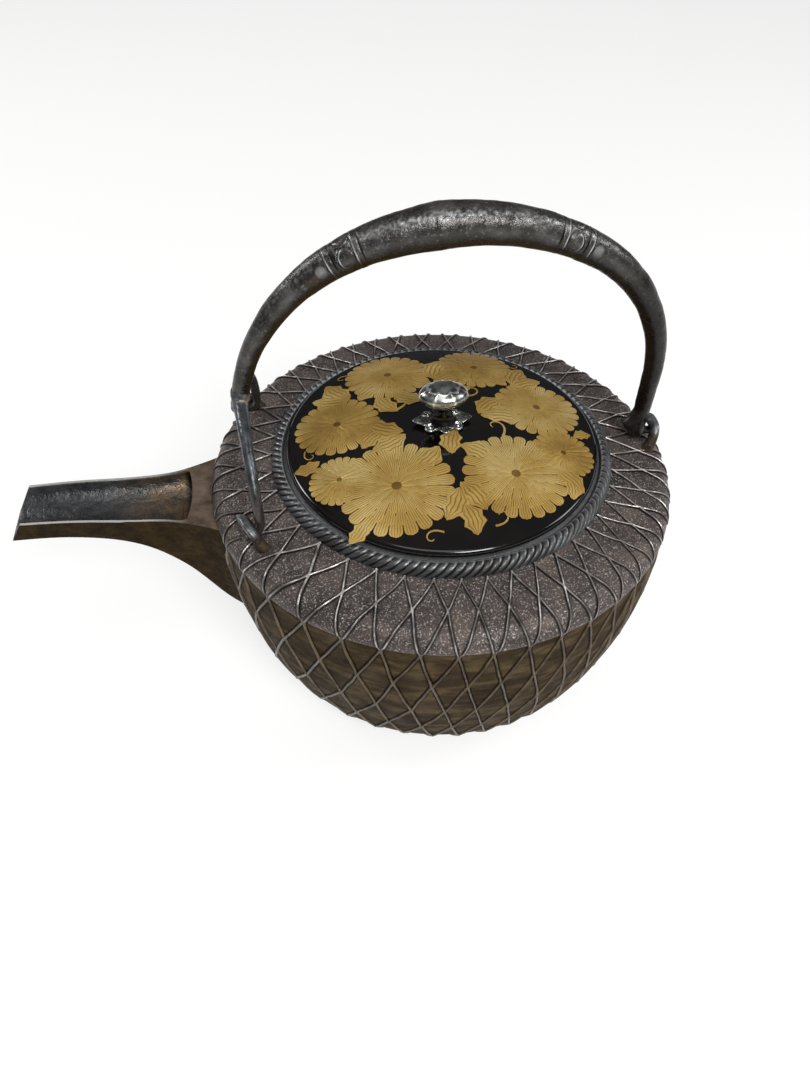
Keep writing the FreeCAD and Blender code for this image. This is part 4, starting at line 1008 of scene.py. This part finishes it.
def laid_on_dome(piece, x, y, size, degrees):
    """A copy of a flat motif, sized, turned and laid on the lid at a place in millimetres."""
    copy = copy_of(piece)
    turn = Matrix.Rotation(math.radians(degrees), 3, "Z")
    for vertex in copy.data.vertices:
        spread = turn @ Vector((vertex.co.x, vertex.co.y, 0.0)) * size + Vector((x, y, 0.0)) * MM
        radius = max(math.hypot(spread.x, spread.y) / MM, 11.0)
        level = between(-radius, dome_radii, dome_levels)
        vertex.co = Vector((spread.x, spread.y, vertex.co.z + level * MM))
    return copy


BLOSSOM_PLACES = [(-19.0, -26.5, 1.16, 0), (19.5, -26.0, 1.08, 7), (34.5, 6.5, 0.95, 3), (-35.0, 6.5, 0.92, 11),
                  (-14.5, 32.0, 0.98, 5), (17.5, 33.0, 0.9, 9), (-36.5, -19.5, 0.62, 4), (38.0, -16.5, 0.66, 2)]
LEAF_PLACES = [(0.5, -36.0, 1.2, -78), (0.5, -30.0, 1.3, -118), (1.0, -28.0, 1.3, -60), (0.5, -16.0, 1.2, 75),
               (33.0, -24.0, 1.2, -50), (37.0, -27.0, 0.9, -95), (44.0, -8.0, 0.7, 15), (28.0, 18.5, 1.4, 25),
               (29.0, 20.5, 1.4, 62), (27.0, 20.0, 1.2, 120), (1.0, 26.0, 1.5, 68), (1.0, 24.0, 1.2, 20),
               (0.0, 23.0, 1.2, 140), (-29.0, 20.0, 1.4, 165), (-29.0, 21.0, 1.4, 125), (-26.5, 18.0, 1.2, 40),
               (-42.0, -9.5, 0.9, 195), (-30.0, -37.0, 0.9, -130), (-28.0, -8.0, 1.1, 40), (13.5, 2.0, 1.4, -8),
               (13.0, 3.0, 1.3, 40), (-13.5, -3.0, 1.4, 150), (-13.0, -4.5, 1.3, 205), (4.0, -12.0, 1.3, -40),
               (-3.0, -12.0, 1.2, 220), (3.0, 13.0, 1.2, 30), (-4.0, 13.0, 1.2, 150), (-14.0, 8.0, 1.2, 120)]
TENDRIL_PLACES = [(19.0, -9.0, 0.8, 60), (-14.0, 9.0, 0.9, 30), (8.0, 14.0, 0.85, -20), (-7.0, -12.5, 0.7, 190),
                  (46.0, 1.5, 0.5, 60), (-46.5, -3.0, 0.5, 250), (-28.0, 37.0, 0.5, 160), (30.0, 35.0, 0.5, -40),
                  (9.0, -45.0, 0.65, 5), (-7.0, -45.5, 0.6, 150)]
golds = [laid_on_dome(blossom, *place) for place in BLOSSOM_PLACES]
golds += [laid_on_dome(leaf, *place) for place in LEAF_PLACES]
golds += [laid_on_dome(tendril, *place) for place in TENDRIL_PLACES]
for pattern in (blossom, leaf, tendril):
    bpy.data.objects.remove(pattern)
gold_design = join_pieces("gold_design", golds)
bpy.ops.object.shade_smooth_by_angle(angle=math.radians(50))

# Gold powder in lacquer: a soft, brownish gold, darker where it is thin, with engraved lines along each
# petal and leaf. Powder and lines are drawn coarser than real ones, so that they show.
gold, place = new_material("gold_powder_lacquer")
patches = node(gold, "TexNoise", {}, {"Vector": place, "Scale": per(18), "Detail": 4.0})
tone = node(gold, "ValToRGB", {"stops": [(0.35, "#a6843f"), (0.5, "#c4a155"), (0.65, "#dbbf79")]}, {0: patches})
along = node(gold, "UVMap", {"uv_map": "UVMap"}, {})
across = node(gold, "SeparateXYZ", {}, {0: along}, 0)
lines = node(gold, "Math", {"operation": "PINGPONG"}, {0: across, 1: 0.1})
drawn = node(gold, "ValToRGB", {"stops": [(0.0, "#7d6540"), (0.05, "#ffffff")]}, {0: lines})
tone = node(gold, "Mix", {"data_type": "RGBA", "blend_type": "MULTIPLY"}, {0: 0.8, 6: tone, 7: drawn}, 2)
powder = node(gold, "TexNoise", {}, {"Vector": place, "Scale": per(0.6), "Detail": 2.0})
relief = node(gold, "Math", {"operation": "MULTIPLY_ADD"}, {0: lines, 1: 4.0, 2: powder})
grain = node(gold, "Bump", {}, {"Strength": 0.4, "Distance": 0.12 * MM, "Height": relief})
node(gold, "Principled BSDF", {}, {"Base Color": tone, "Metallic": 0.5, "Roughness": 0.4, "Normal": grain})
finish_piece(gold_design, gold, "lid", "lacquered_wood", "lid")

# Knob seat: a pierced silver plate between the knob and the lid, four curled leaves and small scrolls round
# a disc, held down by the pin of the knob.
def seat_leaf(degrees, reach, half):
    turn = Matrix.Rotation(math.radians(degrees), 3, "Z")

    def shape(u, v):
        side = 2 * u - 1
        width = half * math.sin(math.pi * (0.25 + 0.75 * v)) ** 0.6 * (1 - 0.22 * abs(math.sin(2 * math.pi * v)))
        curl = 0.55 * side ** 2 + 0.35 * (1 - abs(math.cos(1.5 * math.pi * side))) + 0.5 * v ** 2
        return turn @ Vector((3.2 + (reach - 3.2) * v, side * width, LID_TOP + 0.55 + curl)) * MM

    piece = grid_piece("leaf", 16, 20, shape)
    apply_modifier(piece, "SOLIDIFY", thickness=0.55 * MM, offset=-1.0)
    return piece


seat_parts = [spun_piece("disc", [(1.5, LID_TOP), (5.6, LID_TOP), (5.6, LID_TOP + 0.9), (5.2, LID_TOP + 1.2),
                                  (1.5, LID_TOP + 1.2), (1.5, LID_TOP)], 48)]
seat_parts += [seat_leaf(*lobe) for lobe in ((0, 10.0, 3.3), (180, 10.0, 3.3), (90, 7.5, 3.0), (270, 7.5, 3.0))]
for degrees in (38.0, 142.0, 218.0, 322.0):
    turn = math.radians(degrees)
    centre = Vector((5.9 * math.cos(turn), 5.9 * math.sin(turn), LID_TOP + 0.75))
    bpy.ops.object.select_all(action="DESELECT")
    bpy.ops.mesh.primitive_torus_add(major_radius=1.35 * MM, minor_radius=0.55 * MM, major_segments=24,
                                     minor_segments=12, location=centre * MM)
    seat_parts.append(bpy.context.object)
    bpy.ops.object.transform_apply()
    seat_parts.append(ball_piece(centre, (0.7, 0.7, 0.9)))
seat = welded("knob_seat_leaves", seat_parts, 0.15, 1)

# Silver, darkened by age: bright where it is rubbed, grey to black in its recesses.
silver, place = new_material("silver_darkened")
height = node(silver, "SeparateXYZ", {}, {0: place}, 2)
patches = node(silver, "TexNoise", {}, {"Vector": place, "Scale": per(3), "Detail": 4.0, "Roughness": 0.6})
tone = node(silver, "ValToRGB", {"stops": [(0.36, "#6f716d"), (0.6, "#b4b8b4")]}, {0: patches})
recess = node(silver, "MapRange", {}, {0: height, 1: 0.1024, 2: 0.1031, 3: 0.75, 4: 0.0})
tone = node(silver, "Mix", {"data_type": "RGBA"}, {0: recess, 6: tone, 7: srgb("#26251f")}, 2)
gloss = node(silver, "MapRange", {}, {0: patches, 1: 0.3, 2: 0.7, 3: 0.16, 4: 0.32})
node(silver, "Principled BSDF", {}, {"Base Color": tone, "Metallic": 1.0, "Roughness": gloss})
finish_piece(seat, silver, "lid", "silver", "knob_seat")

# Knob: silver, a flattened oblong bead with petal panels between raised lines, on a dark waisted neck that
# is soldered to it.
BEAD_LEVEL, BEAD_SIZES, PANELS = 113.607, (8.45, 6.25, 3.7), 7
bpy.ops.object.select_all(action="DESELECT")
bpy.ops.mesh.primitive_uv_sphere_add(segments=112, ring_count=56, radius=1)
bead = bpy.context.object
hollows = []
for vertex in bead.data.vertices:
    turn = math.atan2(vertex.co.y, vertex.co.x) + 0.3
    down = math.acos(max(-1.0, min(1.0, vertex.co.z)))
    share = turn * PANELS / (2 * math.pi)
    side = 2 * abs(share - math.floor(share) - 0.5)
    ring = 0.55 + 0.16 * (1 - side ** 2)
    ridge = max(0.0, 1 - abs(down - ring) / 0.1)
    if down > ring:
        ridge = max(ridge, (side - 0.84) / 0.16)
    ridge = ridge if down < 2.0 else 0.5
    hollows.append(1 - ridge)
    vertex.co = Vector(size * part for size, part in zip(BEAD_SIZES, vertex.co * (0.97 + 0.03 * ridge)))
    vertex.co = (vertex.co + Vector((0, 0, BEAD_LEVEL))) * MM
paint(bead, "hollow", hollows)
bpy.ops.object.shade_smooth()
neck = spun_piece("neck", [(0.0, 103.307), (4.7, 103.307), (4.8, 103.6), (4.7, 103.9), (4.0, 104.9), (3.4, 106.2),
                           (3.3, 107.2), (3.6, 108.8), (4.4, 110.4), (5.2, 111.3), (5.0, 112.0), (0.0, 112.0)], 64, 50)
# The neck is marked for painted shade.
paint(neck, "hollow", [2.0] * len(neck.data.vertices))
knob = join_pieces("knob_bead", [bead, neck])

# Chased silver: bright raised lines over greyer panels, and black painted shade on the neck under the bead.
knob_silver, place = new_material("silver_chased_petals")
hollow = node(knob_silver, "Attribute", {"attribute_name": "hollow"}, {}, "Fac")
patches = node(knob_silver, "TexNoise", {}, {"Vector": place, "Scale": per(4), "Detail": 4.0, "Roughness": 0.6})
tarnish = node(knob_silver, "ValToRGB", {"stops": [(0.36, "#666862"), (0.62, "#b2b6b0")]}, {0: patches})
bare_and_highlight = node(knob_silver, "ValToRGB", {"stops": [(0.0, "#d3d6d2"), (0.5, "#ffffff")]}, {0: patches})
in_panel = node(knob_silver, "MapRange", {}, {0: hollow, 1: 0.3, 2: 0.8})
tone = node(knob_silver, "Mix", {"data_type": "RGBA"}, {0: in_panel, 6: bare_and_highlight, 7: tarnish}, 2)
# Painted shade: the neck under the bead is coloured near black.
painted_neck_shade = node(knob_silver, "MapRange", {}, {0: hollow, 1: 1.4, 2: 1.8, 4: 0.9})
tone = node(knob_silver, "Mix", {"data_type": "RGBA"}, {0: painted_neck_shade, 6: tone, 7: srgb("#1b1916")}, 2)
gloss = node(knob_silver, "MapRange", {}, {0: patches, 1: 0.3, 2: 0.7, 3: 0.18, 4: 0.36})
node(knob_silver, "Principled BSDF", {}, {"Base Color": tone, "Metallic": 1.0, "Roughness": gloss})
finish_piece(knob, knob_silver, "lid", "silver", "knob")

# Washer and split pin under the lid: sheet silver, cut by hand and dull from steam. The pin is soldered into
# the knob, passes through the lid and is spread over the washer.
dull_silver, place = new_material("silver_dull_sheet")
patches = node(dull_silver, "TexNoise", {}, {"Vector": place, "Scale": per(2.5), "Detail": 4.0, "Roughness": 0.6})
tone = node(dull_silver, "ValToRGB", {"stops": [(0.35, "#5c5a54"), (0.65, "#989790")]}, {0: patches})
scuffs = node(dull_silver, "Bump", {}, {"Strength": 0.3, "Distance": 0.1 * MM, "Height": patches})
node(dull_silver, "Principled BSDF", {}, {"Base Color": tone, "Metallic": 1.0, "Roughness": 0.42, "Normal": scuffs})
for name in ("lid_washer", "knob_split_pin"):
    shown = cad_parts[name]
    shown.data.materials.clear()
    shown.data.materials.append(dull_silver)

# Floor: a plain pale table top under the foot of the pot.
bpy.ops.object.select_all(action="DESELECT")
bpy.ops.mesh.primitive_plane_add(size=6.0)
floor = named("floor")
for vertex in floor.data.vertices:
    vertex.co.z = -0.2 * MM

# Pale matt table top: near white to the eye and in reflections, with the soft shadow of the pot.
paper = bpy.data.materials.new("pale_table_top")
paper.use_nodes = True
seen = node(paper, "LightPath", {}, {}, "Is Camera Ray")
mirrored = node(paper, "LightPath", {}, {}, "Is Glossy Ray")
through = node(paper, "LightPath", {}, {}, "Is Transmission Ray")
shown = node(paper, "Math", {"operation": "MAXIMUM"}, {0: seen, 1: mirrored})
shown = node(paper, "Math", {"operation": "MAXIMUM"}, {0: shown, 1: through})
glow = node(paper, "Math", {"operation": "MULTIPLY"}, {0: shown, 1: 0.72})
tone = node(paper, "Mix", {"data_type": "RGBA"}, {0: shown, 6: srgb("#f4f3f1"), 7: srgb("#9a9998")}, 2)
node(paper, "Principled BSDF", {}, {"Base Color": tone, "Roughness": 0.9, "Specular IOR Level": 0.1,
                                    "Emission Color": srgb("#ffffff"), "Emission Strength": glow})
floor.data.materials.append(paper)

# Light: a soft room that is brightest overhead, a lamp in front, and weaker ones above and at the sides.
room = bpy.data.worlds.new("soft_room")
room.use_nodes = True
bpy.context.scene.world = room
direction = node(room, "TexCoord", {}, {}, "Generated")
upward = node(room, "SeparateXYZ", {}, {0: direction}, 2)
glow = node(room, "ValToRGB", {"stops": [(0.3, "#6a6a6c"), (0.95, "#a5a5a5")]}, {0: upward})
node(room, "Background", {}, {"Color": glow, "Strength": 0.65})


def soft_lamp(name, place, size, watts):
    bpy.ops.object.light_add(type="AREA", location=place)
    lamp = bpy.context.object
    lamp.name = name
    lamp.data.size, lamp.data.energy = size, watts
    lamp.rotation_euler = (Vector((0, 0, 0.06)) - Vector(place)).to_track_quat("-Z", "Y").to_euler()


soft_lamp("front_key", (0.22, -0.75, 0.8), 0.35, 8.5)
soft_lamp("overhead", (-0.1, -0.3, 1.05), 0.5, 2.0)
soft_lamp("right_fill", (0.75, -0.05, 0.6), 0.3, 2.2)
soft_lamp("left_fill", (-0.8, 0.5, 0.7), 0.25, 3.5)

# Camera: at the photograph's place, looking down on the pot from the near side.
YAW, PITCH, ROLL = math.radians(-8.331), math.radians(47.416), math.radians(0.421)
back = Vector((math.sin(YAW) * math.cos(PITCH), -math.cos(YAW) * math.cos(PITCH), math.sin(PITCH)))
right = Vector((0, 0, 1)).cross(back).normalized()
up = back.cross(right)
right, up = math.cos(ROLL) * right + math.sin(ROLL) * up, math.cos(ROLL) * up - math.sin(ROLL) * right
bpy.ops.object.camera_add()
camera = bpy.context.object
camera.data.lens, camera.data.sensor_width, camera.data.clip_start = 27.06, 36.0, 0.005
camera.matrix_world = (Matrix.Translation((-0.043023, -0.209793, 0.2762))
                       @ Matrix((right, up, back)).transposed().to_4x4())
bpy.context.scene.camera = camera
bpy.context.scene.view_settings.view_transform = "Standard"
